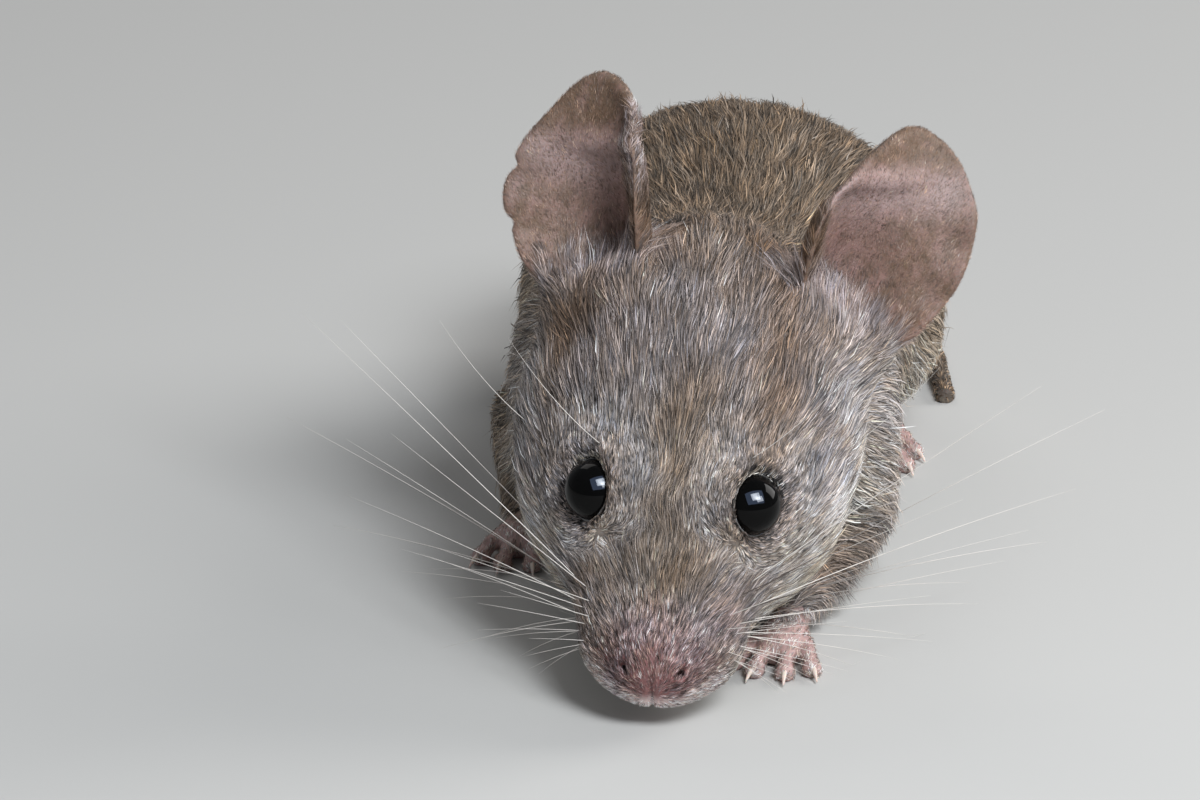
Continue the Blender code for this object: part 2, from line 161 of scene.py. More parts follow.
def round_cone(points, start, end, start_radius, end_radius):
    start, end = np.asarray(start, float), np.asarray(end, float)
    run = end - start
    along = np.clip((points - start) @ run / (run @ run), 0, 1)
    centre = start + along[..., None] * run
    return norm(points - centre) - (start_radius + along * (end_radius - start_radius))


def blend(first, second, width):
    """The union of two fields with a fillet about this wide."""
    near = np.maximum(width - np.abs(first - second), 0) / width
    return np.minimum(first, second) - near * near * width / 4


def soft_cut(first, second, width):
    """What both fields share, with its edge rounded."""
    return -blend(-first, -second, width)


def blend_all(fields, width):
    joined = fields[0]
    for field in fields[1:]:
        joined = blend(joined, field, width)
    return joined


# Head

def in_head(points):
    """Forward, left and up from the point between the eyes."""
    return (points - BETWEEN_EYES) @ HEAD.T


def from_head(places):
    return BETWEEN_EYES + np.asarray(places, float) @ HEAD


def head_way(forward, left, up):
    return np.array([forward, left, up]) @ HEAD


def eye_centre(side):
    forward, out, up = EYE_PLACE
    return from_head((forward, side * out, up))


def eye_axes(side):
    """Rows: the way the eye looks, toward its front corner, and the third direction."""
    forward, out, up = EYE_AXIS
    look = unit(head_way(forward, side * out, up))
    corner = head_way(0.86, 0, -0.5)
    corner = unit(corner - look * (corner @ look))
    return np.array([look, corner, np.cross(look, corner)])


def head_coat_depth(forward):
    """How deep the skin lies under the tips of the head's coat."""
    return np.interp(forward, (-14, -4, 2, 6, 8.6), (1.2, 0.85, 0.6, 0.25, 0.0))


NOSTRIL = (10.15, 1.35, -0.2)


def head_field(points):
    middle = in_head(points)
    paired = middle * (1, 0, 1) + np.abs(middle) * (0, 1, 0)
    forward, out, up = np.moveaxis(paired, -1, 0)
    cranium = ellipsoid(middle, (-8.5, 0, -4.2), (10.0, 8.7, 7.5))
    cheeks = ellipsoid(paired, (-3.6, 4.3, -5.0), (7.5, 4.5, 4.8))
    bridge = round_cone(middle, (0.5, 0, -3.0), (8.2, 0, -1.9), 5.8, 2.6)
    flanks = round_cone(paired, (-1.0, 3.6, -3.4), (7.4, 1.7, -2.5), 4.0, 2.3)
    whisker_pads = ellipsoid(paired, (7.1, 2.2, -2.6), (3.0, 2.1, 2.2))
    nose_end = ellipsoid(middle, (9.4, 0, -0.9), (1.7, 1.7, 1.5))
    lip = ellipsoid(middle, (9.6, 0, -2.1), (1.8, 2.5, 1.2))
    jaw = round_cone(middle, (6.8, 0, -4.4), (-3.0, 0, -7.4), 1.6, 4.2)
    from_orbit = norm(paired - ORBIT)
    field = blend_all((cranium, cheeks, bridge, flanks), 2.4)
    field = blend_all((field, whisker_pads, nose_end, lip, jaw, from_orbit - ORBIT_RADIUS), 1.3)
    field = field + head_coat_depth(forward) * (0.3 + 0.7 * ramp(from_orbit, 2.4, 4.6))
    lip_line = -3.55 - 0.22 * (9.5 - forward)
    mouth = 0.3 * bell(up, lip_line, 0.2) * ramp(forward, 4.2, 6.2)
    cleft = 0.2 * bell(out, 0, 0.15) * ramp(forward, 9.4, 10.4) * ramp(-up, -0.3, 0.8)
    wing = -0.17 * bell(norm(paired - NOSTRIL), 0.6, 0.24)
    field = field + mouth + cleft + wing
    pit = ellipsoid(paired, NOSTRIL, (0.6, 0.4, 0.3))
    slit = round_cone(paired, NOSTRIL, (9.35, 1.85, -0.05), 0.22, 0.08)
    return soft_cut(field, -np.minimum(pit, slit), 0.12)


def lid_edge(turn):
    """Degrees from the eye's axis to the edge of the lids, with turn measured from the front corner."""
    return LID_OPENING + LID_CORNER * np.abs(np.cos(turn)) ** 9


def from_ball(side, opening, turn, radius):
    """The place at these angles, in radians, on a ball round the eye's centre."""
    across = np.sin(opening)
    ways = np.stack([np.cos(opening), across * np.cos(turn), across * np.sin(turn)], axis=-1)
    return eye_centre(side) + np.asarray(radius)[..., None] * ways @ eye_axes(side)


def on_eye(points, side):
    """(distance from the eye's centre, degrees outside the edge of its lids)."""
    look, corner, third = np.moveaxis((points - eye_centre(side)) @ eye_axes(side).T, -1, 0)
    away = np.sqrt(look**2 + corner**2 + third**2)
    opening = np.degrees(np.arccos(np.clip(look / np.maximum(away, 1e-6), -1, 1)))
    return away, opening - lid_edge(np.arctan2(third, corner))


def with_lids(field, points):
    """The head's field with a lid round each eye and the eye's own room cut out."""
    for side in (1, -1):
        if not within(points, eye_centre(side), 5):
            continue
        away, outside = on_eye(points, side)
        inward = np.minimum(np.radians(outside) * EYE_RADIUS, 0)
        lid = np.hypot(inward, away - EYE_RADIUS - 0.03) - LID_THICKNESS
        field = blend(field, lid, 0.35)
        field = np.maximum(field, -ellipsoid(points, eye_centre(side), (EYE_RADIUS + EYE_CLEARANCE,) * 3))
        opened = np.radians(-LID_WIDTH - outside) * away
        field = np.where(away < EYE_RADIUS + 1.6, np.maximum(field, np.minimum(opened, away)), field)
    return field


# Ears

class Ear:
    """A pinna: a thin dished sheet facing `facing` degrees to its outer side.

    Its outline is an oval whose shoulder is cut straight across, `reach` from the middle. Along its
    front edge runs a band of fur, whose inner side lies at the shares `fur_line` of the half width. Dark
    fur runs from its front edge down to `tuft_end`.
    """

    def __init__(self, side, right, up, back, lean, facing, length, width, **shape):
        self.side, self.length, self.width = side, length, width
        self.shoulder, self.reach = unit(shape["shoulder"]), shape["reach"]
        self.fold, self.notches = shape["fold"], shape["notches"]
        self.fur_line, self.fur_pale = shape["fur_line"], shape["fur_pale"]
        self.tuft_end = shape["tuft_end"]
        self.base = BETWEEN_EYES + right * SIDEWAYS + up * FACE_UP - back * FACE_OUT
        rise = cos(radians(lean)) * FACE_UP + side * sin(radians(lean)) * SIDEWAYS - 0.07 * FACE_OUT
        look = cos(radians(facing)) * FACE_OUT + side * sin(radians(facing)) * SIDEWAYS
        self.rise = unit(rise)
        self.look = unit(look - self.rise * (look @ self.rise))
        across = np.cross(self.rise, self.look)
        self.across = across * np.sign(across[0]) * side
        self.axes = np.array([self.across, self.rise, self.look])


EARS = {
    "left": Ear(
        +1, 9.6, 8.5, 5.0, 21, 22, 13.2, 9.7, shoulder=(-0.77, 0.64), reach=0.8,
        fold=(0.75, 0.144), notches=(), fur_line=(-0.42, -0.72, -0.92, -1.02, -1.0), fur_pale=0.08,
        tuft_end=(-0.95, -0.5),
    ),
    "right": Ear(
        -1, -4.9, 11.1, 5.5, 2, 32, 13.0, 9.4, shoulder=(0.64, 0.77), reach=0.83,
        fold=(0.68, 0.05), notches=(0.36, 0.6), fur_line=(-0.3, -0.46, -0.5, -0.74, -1.0), fur_pale=0.45,
        tuft_end=(-0.2, -0.24),
    ),
}


def in_ear(points, ear):
    """Across, from the base to the tip, and out of the bowl."""
    return (points - ear.base) @ ear.axes.T


def ear_shares(points, ear):
    """Across from -1 to 1, along from 0 at the base to 1 at the tip, and millimetres out of the bowl."""
    across, along, out = np.moveaxis(in_ear(points, ear), -1, 0)
    return across / (ear.width / 2), along / ear.length, out


def past_fold(across, along, ear):
    """How far along from the low ridge that crosses the bowl."""
    return along - ear.fold[0] - ear.fold[1] * across


def ear_dish(across, along, ear):
    """How far the sheet stands forward, with across from -1 to 1 and along from 0 to 1."""
    bowl = -3.4 * np.exp(-((across + 0.15) / 0.62) ** 2 - ((along - 0.24) / 0.34) ** 2)
    tip = -9.3 * np.clip(along - 0.62, 0, 1) ** 2
    front_edge = 5.0 * np.clip(-across - 0.45, 0, 1) ** 2 * np.clip(1.1 - along, 0, 1)
    arc = 0.42 * bell(past_fold(across, along, ear), 0, 0.045) * ramp(-across, -0.45, 0.1)
    crinkle = 0.16 * np.sin(27 * along + 2) * ramp(across, 0.45, 0.95)
    return bowl + tip + front_edge + arc + crinkle + 0.9 * across**2


def ear_outline(across, along, ear):
    """Negative inside the ear's oval, in shares of its half width."""
    height = (along - 0.47) / 0.53
    oval = np.hypot(across / (1 + 0.07 * np.clip(height, -1, 1)), height) - 1
    past_shoulder = across * ear.shoulder[0] + height * ear.shoulder[1] - ear.reach
    edge = soft_cut(oval, past_shoulder, 0.25)
    for notch in ear.notches:
        edge = edge + 0.06 * bell(along, notch, 0.03) * ramp(across, 0.2, 0.7)
    return edge + 0.008 * np.sin(31 * along) * ramp(across, 0, 0.6)


def ear_field(points, ear):
    across, along, out = ear_shares(points, ear)
    small = 0.01
    sheet = ear_dish(across, along, ear)
    slope_across = (ear_dish(across + small, along, ear) - sheet) / (small * ear.width / 2)
    slope_along = (ear_dish(across, along + small, ear) - sheet) / (small * ear.length)
    steepness = np.sqrt(1 + slope_across**2 + slope_along**2)
    edge = ear_outline(across, along, ear) * ear.width * 0.45
    rim = EAR_RIM * bell(edge, -0.15, 0.45)
    thickness = np.abs(out - sheet) / steepness - EAR_THICKNESS / 2 - rim
    return soft_cut(thickness, edge, 0.3)


def ear_hollow_field(points, ear):
    """Negative in the room in front of the sheet, which the head's flesh leaves free."""
    across, along, out = ear_shares(points, ear)
    front = ear_dish(across, along, ear) + EAR_THICKNESS / 2 - out
    edge = (ear_outline(across, along, ear) + 0.16) * ear.width * 0.45
    return np.maximum(soft_cut(0.6 * front, edge, 0.6), out - 4)


def ear_root_field(points):
    roots = [ellipsoid(in_ear(points, ear), (-0.4, -0.2, -1.2), (3.4, 3.0, 2.6)) for ear in EARS.values()]
    return np.minimum(*roots) + 0.4


# Trunk and limbs

TRUNK_DEPTH = 1.5    # of the coat
HAUNCH = (9.0, 40, 8.5)
SPINE_X = 3.9        # where the middle of the hindquarters lies, as the body bends a little to the left


def haunch_middle(side):
    return (SPINE_X + side * HAUNCH[0], *HAUNCH[1:])


def haunch_field(points, side):
    return ellipsoid(points, haunch_middle(side), (4.7, 9.5, 6.4)) + TRUNK_DEPTH


def trunk_field(points):
    nape = round_cone(points, (0.8, 8.0, 12.4), (1.9, 20, 11.4), 8.6, 9.9)
    chest = ellipsoid(points, (2.1, 20, 11.2), (11.2, 12.5, 9.8))
    belly = ellipsoid(points, (3.2, 31, 11.3), (12.5, 14, 10.0))
    loin = ellipsoid(points, (3.9, 40.5, 11.3), (12.9, 13.5, 10.5))
    rump = ellipsoid(points, (4.0, 47, 9.6), (9.3, 10.5, 8.4))
    return blend_all((nape, chest, belly, loin, rump), 3.5) + TRUNK_DEPTH


# Left and right: shoulder, its size, elbow and wrist
FORELEGS = (
    ((9.0, 16.5, 9.2), (4.8, 7.0, 7.4), (9.0, 14.5, 5.8), (7.2, 8.6, 2.3)),
    ((-5.9, 24.0, 9.2), (4.2, 6.5, 7.2), (-7.8, 29.0, 5.8), (-8.3, 24.2, 2.3)),
)


def foreleg_field(points, leg):
    shoulder, shoulder_size, elbow, wrist = leg
    upper = ellipsoid(points, shoulder, shoulder_size)
    whole = blend(upper, round_cone(points, elbow, wrist, 3.2, 1.4), 2.5)
    return whole + np.interp(points[..., 2], (2, 8), (0.15, 1.2))


class Foot:
    """A sole from `back` (wrist or heel) along `heading` degrees from -Y toward +X, and its toes."""

    def __init__(self, side, back, heading, sole, toe_length, width, toe_count, height):
        self.back = np.asarray(back, float)
        self.ahead = np.array([sin(radians(heading)), -cos(radians(heading)), 0])
        self.out = side * np.array([cos(radians(heading)), sin(radians(heading)), 0])
        self.sole, self.toe_length, self.width = sole, toe_length, width
        self.toe_count, self.height = toe_count, height
        self.ball = self.back * (1, 1, 0) + self.ahead * sole + np.array([0, 0, height - FOOT_SINK])
        self.middle = self.back + self.ahead * (sole + toe_length) / 2

    def toes(self):
        """The root, knuckle and tip of each toe, from the inner edge of the foot to the outer edge."""
        for place in np.linspace(-1, 1, self.toe_count):
            start = self.ball * (1, 1, 0) + self.out * place * self.width * 0.36
            way = unit(self.ahead + self.out * place * 0.45)
            short_edge = 0.25 if self.toe_count == 5 and abs(place) == 1 else 0
            reach = self.toe_length * (1 - 0.28 * abs(place) ** 1.5 - short_edge)
            raised = np.array([0, 0, TOE_RADIUS + 0.35])
            low = np.array([0, 0, TOE_RADIUS - FOOT_SINK])
            yield start + raised, start + way * reach / 2 + raised, start + way * reach + low


FEET = {
    "forepaw_left": Foot(+1, (7.0, 8.0, 2.0), -14, 3.6, 3.2, 3.6, 4, 0.95),
    "forepaw_right": Foot(-1, (-8.3, 24.6, 2.0), -6, 3.4, 3.2, 3.6, 4, 0.95),
    "hindfoot_left": Foot(+1, (11.6, 49, 1.4), 4, 10.0, 5.0, 4.2, 5, 1.25),
    "hindfoot_right": Foot(-1, (-4.0, 49, 1.4), -4, 10.0, 5.0, 4.2, 5, 1.25),
}


def toe_field(points, root, knuckle, tip):
    """A toe that narrows before its knuckle and ends in a round pad."""
    near = round_cone(points, root, knuckle, TOE_RADIUS, TOE_RADIUS * 0.82)
    far = round_cone(points, knuckle, tip, TOE_RADIUS * 0.78, TOE_RADIUS * 0.86)
    pad = norm(points - (tip + (0, 0, -0.05))) - TOE_RADIUS
    return blend_all((near, far, pad), 0.3)


def foot_field(points, foot):
    palm_axes = np.array([foot.out, foot.ahead, (0, 0, 1)])
    shaft = round_cone(points, foot.back, foot.ball, 1.2, foot.height)
    palm = ellipsoid(points, foot.ball, (foot.width / 2, 1.7, foot.height), palm_axes)
    field = blend(shaft, palm, 1.0)
    for toe in foot.toes():
        field = blend(field, toe_field(points, *toe), 0.3)
    return field + 0.04


# Tail

def tail_line():
    """Centres and radii along the tail, which drops to the floor and curves round to the left haunch."""
    step = TAIL_LENGTH / (TAIL_STATIONS - 1)
    centres, radii = [np.array(TAIL_ROOT)], [TAIL_RADII[0]]
    for station in range(1, TAIL_STATIONS):
        along = station / (TAIL_STATIONS - 1)
        radius = TAIL_RADII[0] + (TAIL_RADII[1] - TAIL_RADII[0]) * along**0.9
        turned = np.interp(along, TAIL_BEND, (0, 1))
        heading = radians(np.interp(turned**2 * (3 - 2 * turned), (0, 1), TAIL_HEADINGS))
        fall = np.clip(centres[-1][2] - (radius - FOOT_SINK), -step, 0.55 * step)
        level = np.sqrt(step**2 - fall**2)
        centres.append(centres[-1] + (sin(heading) * level, cos(heading) * level, -fall))
        radii.append(radius)
    return np.array(centres), np.array(radii)


TAIL_CENTRES, TAIL_RADIUS_ALONG = tail_line()


def tail_field(points):
    field = np.full(points.shape[:-1], np.inf)
    for here in range(TAIL_STATIONS - 1):
        ends = TAIL_CENTRES[here], TAIL_CENTRES[here + 1]
        radii = TAIL_RADIUS_ALONG[here], TAIL_RADIUS_ALONG[here + 1]
        field = np.minimum(field, round_cone(points, *ends, *radii))
    return field + 0.06


# The whole skin

def within(points, centre, reach):
    """Whether the box of these points comes within reach of a place."""
    flat = points.reshape(-1, 3)
    nearest = np.clip(centre, flat.min(axis=0), flat.max(axis=0))
    return norm(nearest - centre) < reach


def masses():
    """(field, middle, reach, fillet) of each mass on the trunk, or of a hollow where fillet is negative."""
    yield head_field, from_head((-3, 0, -3)), 20, 6.5
    yield ear_root_field, (2, 9, 18), 18, 2.0
    for ear in EARS.values():
        middle = ear.base + ear.rise * ear.length / 2
        yield partial(ear_hollow_field, ear=ear), middle, 11, -0.4
        yield partial(ear_field, ear=ear), middle, 11, 0.8
    for leg in FORELEGS:
        yield partial(foreleg_field, leg=leg), leg[2], 16, 2.0
    for side in (1, -1):
        yield partial(haunch_field, side=side), haunch_middle(side), 14, 2.0
    for foot in FEET.values():
        yield partial(foot_field, foot=foot), foot.middle, foot.sole + 7, 0.8
    yield tail_field, (4, 66, 3), 24, 1.0


MASSES = list(masses())


def skin_field(points):
    field = trunk_field(points)
    for mass, middle, reach, fillet in MASSES:
        if not within(points, np.asarray(middle, float), reach):
            continue
        if fillet < 0:
            field = soft_cut(field, -mass(points), -fillet)
        else:
            field = blend(field, mass(points), fillet)
    return np.maximum(with_lids(field, points), FLOOR - points[..., 2])


def skin_distance(points, cube=4.0):
    """The skin's field at scattered points, cube by cube, so that far masses are left out."""
    cubes = np.floor(points / cube).astype(np.int64) + 64
    keys = cubes @ (1, 256, 65536)
    order = np.argsort(keys, kind="stable")
    starts = np.flatnonzero(np.diff(keys[order], prepend=-1))
    distances = np.empty(len(points))
    for group in np.split(order, starts[1:]):
        distances[group] = skin_field(points[group])
    return distances


def skin_distance_and_slope(points, small=0.03):
    """The skin's field at scattered points, and unit vectors out of the skin."""
    corners = np.array([(1, -1, -1), (-1, -1, 1), (-1, 1, -1), (1, 1, 1)])
    values = [skin_distance(points + corner * small) for corner in corners]
    slope = sum(value[:, None] * corner for value, corner in zip(values, corners))
    return sum(values) / len(values), unit(slope)


# Mesh of the skin

GRID = {
    "x": ((-16, 20, 0.215),),
    "y": ((-12, 16, 0.19), (16, 26, 0.23), (26, 36, 0.42), (36, 76, 0.3)),
    "z": ((-0.6, 32, 0.2),),
}
BLOCK = 10           # cells along each side of a block that is sampled as one


def grid_axis(spans):
    return np.concatenate([np.arange(low, high - step / 2, step) for low, high, step in spans])


def sample_field(axes):
    """The field on the whole grid, worked out only in the blocks that the surface may cross."""
    shape = tuple(len(axis) for axis in axes)
    field = np.ones(shape, np.float32)
    starts = [range(0, size, BLOCK) for size in shape]
    blocks = [
        tuple(slice(first, first + BLOCK) for first in corner)
        for corner in np.stack(np.meshgrid(*starts, indexing="ij"), axis=-1).reshape(-1, 3)
    ]
    boxes = [[axis[part] for axis, part in zip(axes, block)] for block in blocks]
    middles = np.array([[part.mean() for part in box] for box in boxes])
    reaches = np.array([norm([np.ptp(part) for part in box]) / 2 for box in boxes])
    at_middle = skin_distance(middles)
    for block, box, reach, value in zip(blocks, boxes, reaches, at_middle):
        if abs(value) > 1.2 * reach + 0.4:
            field[block] = value
        else:
            field[block] = skin_field(np.stack(np.meshgrid(*box, indexing="ij"), axis=-1))
    return field


def surface_nets(field, axes):
    """Vertices and quads of the surface field = 0, with one vertex in each cell that it crosses."""
    cells = tuple(size - 1 for size in field.shape)
    total, count, crossings = np.zeros(cells + (3,)), np.zeros(cells, int), []
    for axis in range(3):
        near, far = [slice(None)] * 3, [slice(None)] * 3
        near[axis], far[axis] = slice(0, -1), slice(1, None)
        start = np.argwhere((field[tuple(near)] < 0) != (field[tuple(far)] < 0))
        end = start + np.eye(3, dtype=int)[axis]
        values = field[tuple(start.T)], field[tuple(end.T)]
        place = np.stack([axes[i][start[:, i]] for i in range(3)], axis=1).astype(float)
        place[:, axis] += values[0] / (values[0] - values[1]) * np.diff(axes[axis])[start[:, axis]]
        others = [i for i in range(3) if i != axis]
        kept = (start[:, others] > 0).all(axis=1) & (start[:, others] < np.array(cells)[others]).all(axis=1)
        start, place, outward = start[kept], place[kept], values[0][kept] < 0
        ring = []
        for back in ((0, 0), (1, 0), (1, 1), (0, 1)):
            cell = start.copy()
            cell[:, (axis + 1) % 3] -= back[0]
            cell[:, (axis + 2) % 3] -= back[1]
            np.add.at(total, tuple(cell.T), place)
            np.add.at(count, tuple(cell.T), 1)
            ring.append(cell)
        crossings.append((np.stack(ring, axis=1), outward))
    used = count > 0
    index = np.cumsum(used.ravel()).reshape(cells) - 1
    quads = []
    for ring, outward in crossings:
        corners = index[tuple(np.moveaxis(ring, -1, 0))]
        quads.append(np.where(outward[:, None], corners, corners[:, ::-1]))
    return total[used] / count[used][:, None], np.concatenate(quads)


def make_skin():
    axes = [grid_axis(GRID[name]) for name in "xyz"]
    vertices, quads = surface_nets(sample_field(axes), axes)
    for _ in range(2):
        distance, slope = skin_distance_and_slope(vertices)
        vertices = vertices - slope * np.clip(distance, -0.12, 0.12)[:, None]
    vertices[:, 2] = np.maximum(vertices[:, 2], FLOOR)
    return vertices, quads, slope


# Where on the animal a point is

def ear_share(points, normals, ear):
    """1 on the free part of a pinna, falling to 0 at its root, which lies lower inside the bowl."""
    place = in_ear(points, ear)
    inside = ramp(-ellipsoid(place, (0, 6.4, -1.0), (6.4, 8.8, 5.2)), -0.4, 0.2)
    inner = ramp(dot(normals, ear.look[None]), -0.1, 0.4)
    return inside * ramp(place[:, 1] + 1.2 * inner, 0.6, 2.8)


def foot_share(points, foot):
    return ramp(-foot_field(points, foot), -0.7, -0.1) * ramp(-points[:, 2], -3.0, -1.8)


def tail_share(points):
    return ramp(-tail_field(points), -0.5, 0.0) * ramp(points[:, 1], 52.5, 55.5)


def tail_place(points):
    """(station, way) of the nearest place on the tail."""
    nearest = norm(points[:, None] - TAIL_CENTRES[None, :-1]).argmin(axis=1)
    ways = unit(np.diff(TAIL_CENTRES, axis=0))
    past = dot(points - TAIL_CENTRES[nearest], ways[nearest])
    return nearest * TAIL_LENGTH / (TAIL_STATIONS - 1) + past, ways[nearest]


class Place:
    """Everything that the coat's and the skin's formulas need to know about some points on the skin."""

    def __init__(self, points, normals):
        self.points, self.normals = points, normals
        self.x, self.y, self.z = np.moveaxis(points, -1, 0)
        self.sideways = np.abs(normals[:, 0])
        self.forward, self.left, self.up = np.moveaxis(in_head(points), -1, 0)
        self.out = np.abs(self.left)
        self.ears = {name: ear_share(points, normals, ear) for name, ear in EARS.items()}
        self.ear = np.maximum(*self.ears.values())
        self.feet = {name: foot_share(points, foot) for name, foot in FEET.items()}
        self.foot = np.maximum.reduce(list(self.feet.values()))
        self.tail = tail_share(points)
        self.body = ramp(self.y, 4, 15) * (1 - self.ear)
        self.eye_gap = np.full(len(points), 9.0)
        for side in (1, -1):
            away, outside = on_eye(points, side)
            edge = np.radians(outside) * EYE_RADIUS
            gap = np.hypot(np.maximum(edge, 0), np.maximum(away - EYE_RADIUS, 0) * 0.6)
            gap = np.where((edge < 0) & (away < EYE_RADIUS + 0.6), edge, gap)
            self.eye_gap = np.minimum(self.eye_gap, gap)
        self.nose_gap = norm(in_head(points) - (9.9, 0, -1.3))
        self.lip = ramp(-self.nose_gap, -4.4, -3.0) * ramp(-self.up, 0.9, 1.9)
        pad = np.stack([self.forward - 7.6, self.left - 2.7, self.up + 0.7], axis=-1)
        self.pad = bell(norm(pad), 0, 1.5)
        self.under = ramp(-normals[:, 2], -0.1, 0.6) * (1 - self.ear)


def wobble(points, size, seed):
    """A smooth random value from about -1 to 1 that changes over this many millimetres."""
    random = np.random.default_rng(seed)
    waves = unit(random.normal(size=(7, 3))) * random.uniform(0.7, 1.5, (7, 1)) * tau / size
    return np.sin(points @ waves.T + random.uniform(0, tau, 7)).sum(axis=1) / 3.2


# Colours, as linear red, green and blue

CROWN = (0.30, 0.255, 0.245)
NAPE = (0.235, 0.18, 0.145)
FOREHEAD = (0.265, 0.205, 0.16)
CHEEK = (0.67, 0.61, 0.61)
MUZZLE = (0.265, 0.215, 0.19)
EYE_RING = (0.42, 0.37, 0.345)
# The back's own brown, made a little darker as painted shade of a shadow falling over it
BACK_WITH_PAINTED_SHADE = (0.185, 0.135, 0.095)
FLANK = (0.33, 0.26, 0.195)
NECK_SIDE = (0.47, 0.42, 0.40)
BELLY = (0.66, 0.58, 0.49)
EAR_TUFT = (0.19, 0.125, 0.085)
EAR_HAIR = (0.30, 0.215, 0.175)
EAR_FRINGE = (0.62, 0.52, 0.51)
NOSE_HAIR = (0.285, 0.20, 0.195)
# The lip's own pale pink, made lighter as painted light to lift the shade on its down-facing surface
LIP_WITH_PAINTED_LIGHT = (0.86, 0.69, 0.67)
FOOT_HAIR = (0.66, 0.56, 0.50)
TAIL_HAIR = (0.30, 0.235, 0.19)
# The skin under the coat, painted near black as the shade in the gaps between the hairs
COAT_GAP_SHADE = (0.075, 0.062, 0.056)
NOSE_PINK = (0.29, 0.135, 0.13)
EAR_PINK = (0.35, 0.215, 0.19)
EAR_MAUVE = (0.42, 0.31, 0.30)
EAR_BROWN = (0.17, 0.108, 0.072)
LID_DARK = (0.012, 0.010, 0.010)
# Painted shade inside the nostril openings
NOSTRIL_SHADE = (0.10, 0.018, 0.016)
FOOT_PINK = (0.52, 0.345, 0.325)
TAIL_BROWN = (0.33, 0.235, 0.20)


def layered(colour, *layers):
    """The colour under layers of (colour, share), each mixed over those before it."""
    for tone, share in layers:
        colour = toward(np.asarray(colour), np.asarray(tone), np.asarray(share)[..., None])
    return colour


def ear_place(at, name):
    """Across from -1 to 1, along from 0 to 1, and how far each place belongs to the ear's inner side."""
    across, along, _ = ear_shares(at.points, EARS[name])
    return across, along, ramp(dot(at.normals, EARS[name].look[None]), -0.1, 0.4)


def ear_fringe(at, name):
    """How much of the long pale hair at the foot of the bowl grows at each place."""
    across, along, inner = ear_place(at, name)
    return inner * bell(along, 0.08, 0.13) * bell(across, -0.3, 0.6) * np.maximum(at.ears[name], 0.5)


def ear_tuft(at, name):
    """How dark the fur is beside the ear's front edge and under its foot."""
    ear = EARS[name]
    place = in_ear(at.points, ear) / (ear.width / 2, ear.length, 1)
    start = np.array((-1.1, 0.42))
    run = np.array(ear.tuft_end) - start
    share = np.clip((place[:, :2] - start) @ run / (run @ run), 0, 1)
    beside = (place[:, :2] - start - share[:, None] * run) * (ear.width / 2, ear.length)
    return bell(norm(beside), 0, 1.9) * ramp(-np.abs(place[:, 2] - 2.5), -8, -5)


def ear_foot(at, name):
    """How far each place belongs to the foot of the bowl, over which the head's fur grows."""
    _, along, inner = ear_place(at, name)
    return ramp(-along + 0.12 * wobble(at.points, 1.2, 51), -0.2, 0.0) * inner * at.ears[name]


def ear_band(at, name):
    """How far each place belongs to the band of fur along the ear's front edge."""
    across, along, _ = ear_place(at, name)
    line = np.interp(along, (0.1, 0.3, 0.5, 0.75, 1.0), EARS[name].fur_line)
    return ramp(line - across, -0.1, 0.08) * at.ears[name] * ramp(along, 0.04, 0.16)


def coat_colour(at):
    """The mean colour of the hairs that grow at each place."""
    stripe = bell(at.left + 0.9 * wobble(at.points, 2.5, 71), 0, 4.2)
    behind = at.y + 1.6 * wobble(at.points, 3.0, 5)
    neck = ramp(at.y, 1, 6) * ramp(-at.y, -28, -13) * ramp(-at.z, -19, -14)
    colour = layered(
        np.tile(CROWN, (len(at.points), 1)),
        (FOREHEAD, stripe * ramp(at.forward, -7, -1) * ramp(-at.forward, -9, -6)),
        (CHEEK, ramp(at.out, 3.6, 7.2) * ramp(-at.up, -0.5, 3.0)),
        (MUZZLE, 0.8 * ramp(at.forward, 3.5, 6.5) * ramp(-at.up, -1, 1.5)),
        (EYE_RING, 0.8 * bell(at.eye_gap, 1.1, 0.7)),
        (NAPE, ramp(behind, 0, 9) * (1 - at.ear)),
        # Back and flanks, the back a little darker as painted shade
        (layered(BACK_WITH_PAINTED_SHADE, (FLANK, ramp(at.sideways, 0.55, 0.98))), ramp(behind, 5, 20) * (1 - at.ear)),
        (NECK_SIDE, 0.85 * ramp(at.sideways, 0.4, 0.85) * neck * (1 - at.ear)),
        *[(EAR_TUFT, 0.8 * ear_tuft(at, name)) for name in EARS],
        (BELLY, at.under),
        (NOSE_HAIR, np.maximum(ramp(-at.nose_gap, -4.2, -2.0), 0.75 * at.pad)),
        # Pale lip hairs, lightened as painted light
        (LIP_WITH_PAINTED_LIGHT, at.lip),
        (EAR_HAIR, at.ear),
    )
    for name, ear in EARS.items():
        across, along, inner = ear_place(at, name)
        streak = np.clip(ear.fur_pale * (1 + wobble(at.points, 0.5, 31)), 0, 1) * ramp(along, 0.34, 0.48)
        dark = np.maximum(0.6 * (1 - inner), 0.5 * ramp(past_fold(across, along, ear), 0.02, 0.12))
        colour = layered(
            colour,
            (EAR_TUFT, dark * at.ears[name]),
            (layered(EAR_TUFT, (EAR_FRINGE, streak)), ear_band(at, name)),
            (CROWN, 0.8 * ear_foot(at, name)),
            (EAR_FRINGE, 0.8 * ear_fringe(at, name)),
        )
    colour = layered(colour, (FOOT_HAIR, at.foot), (TAIL_HAIR, at.tail))
    cool = 0.05 * wobble(at.points, 2.8, 61)[:, None] * (1, 0.1, -1)
    return colour * (1 + 0.14 * wobble(at.points, 5.0, 3))[:, None] * (1 + cool)


def bareness(at):
    """1 where the skin shows through its hairs, and 0 under the full coat."""
    nose = ramp(-at.nose_gap, -4.6, -2.4)
    lids = 0.8 * ramp(-at.eye_gap, -1.3, -0.4)
    return np.maximum.reduce([nose, lids, at.ear, at.foot, at.tail])


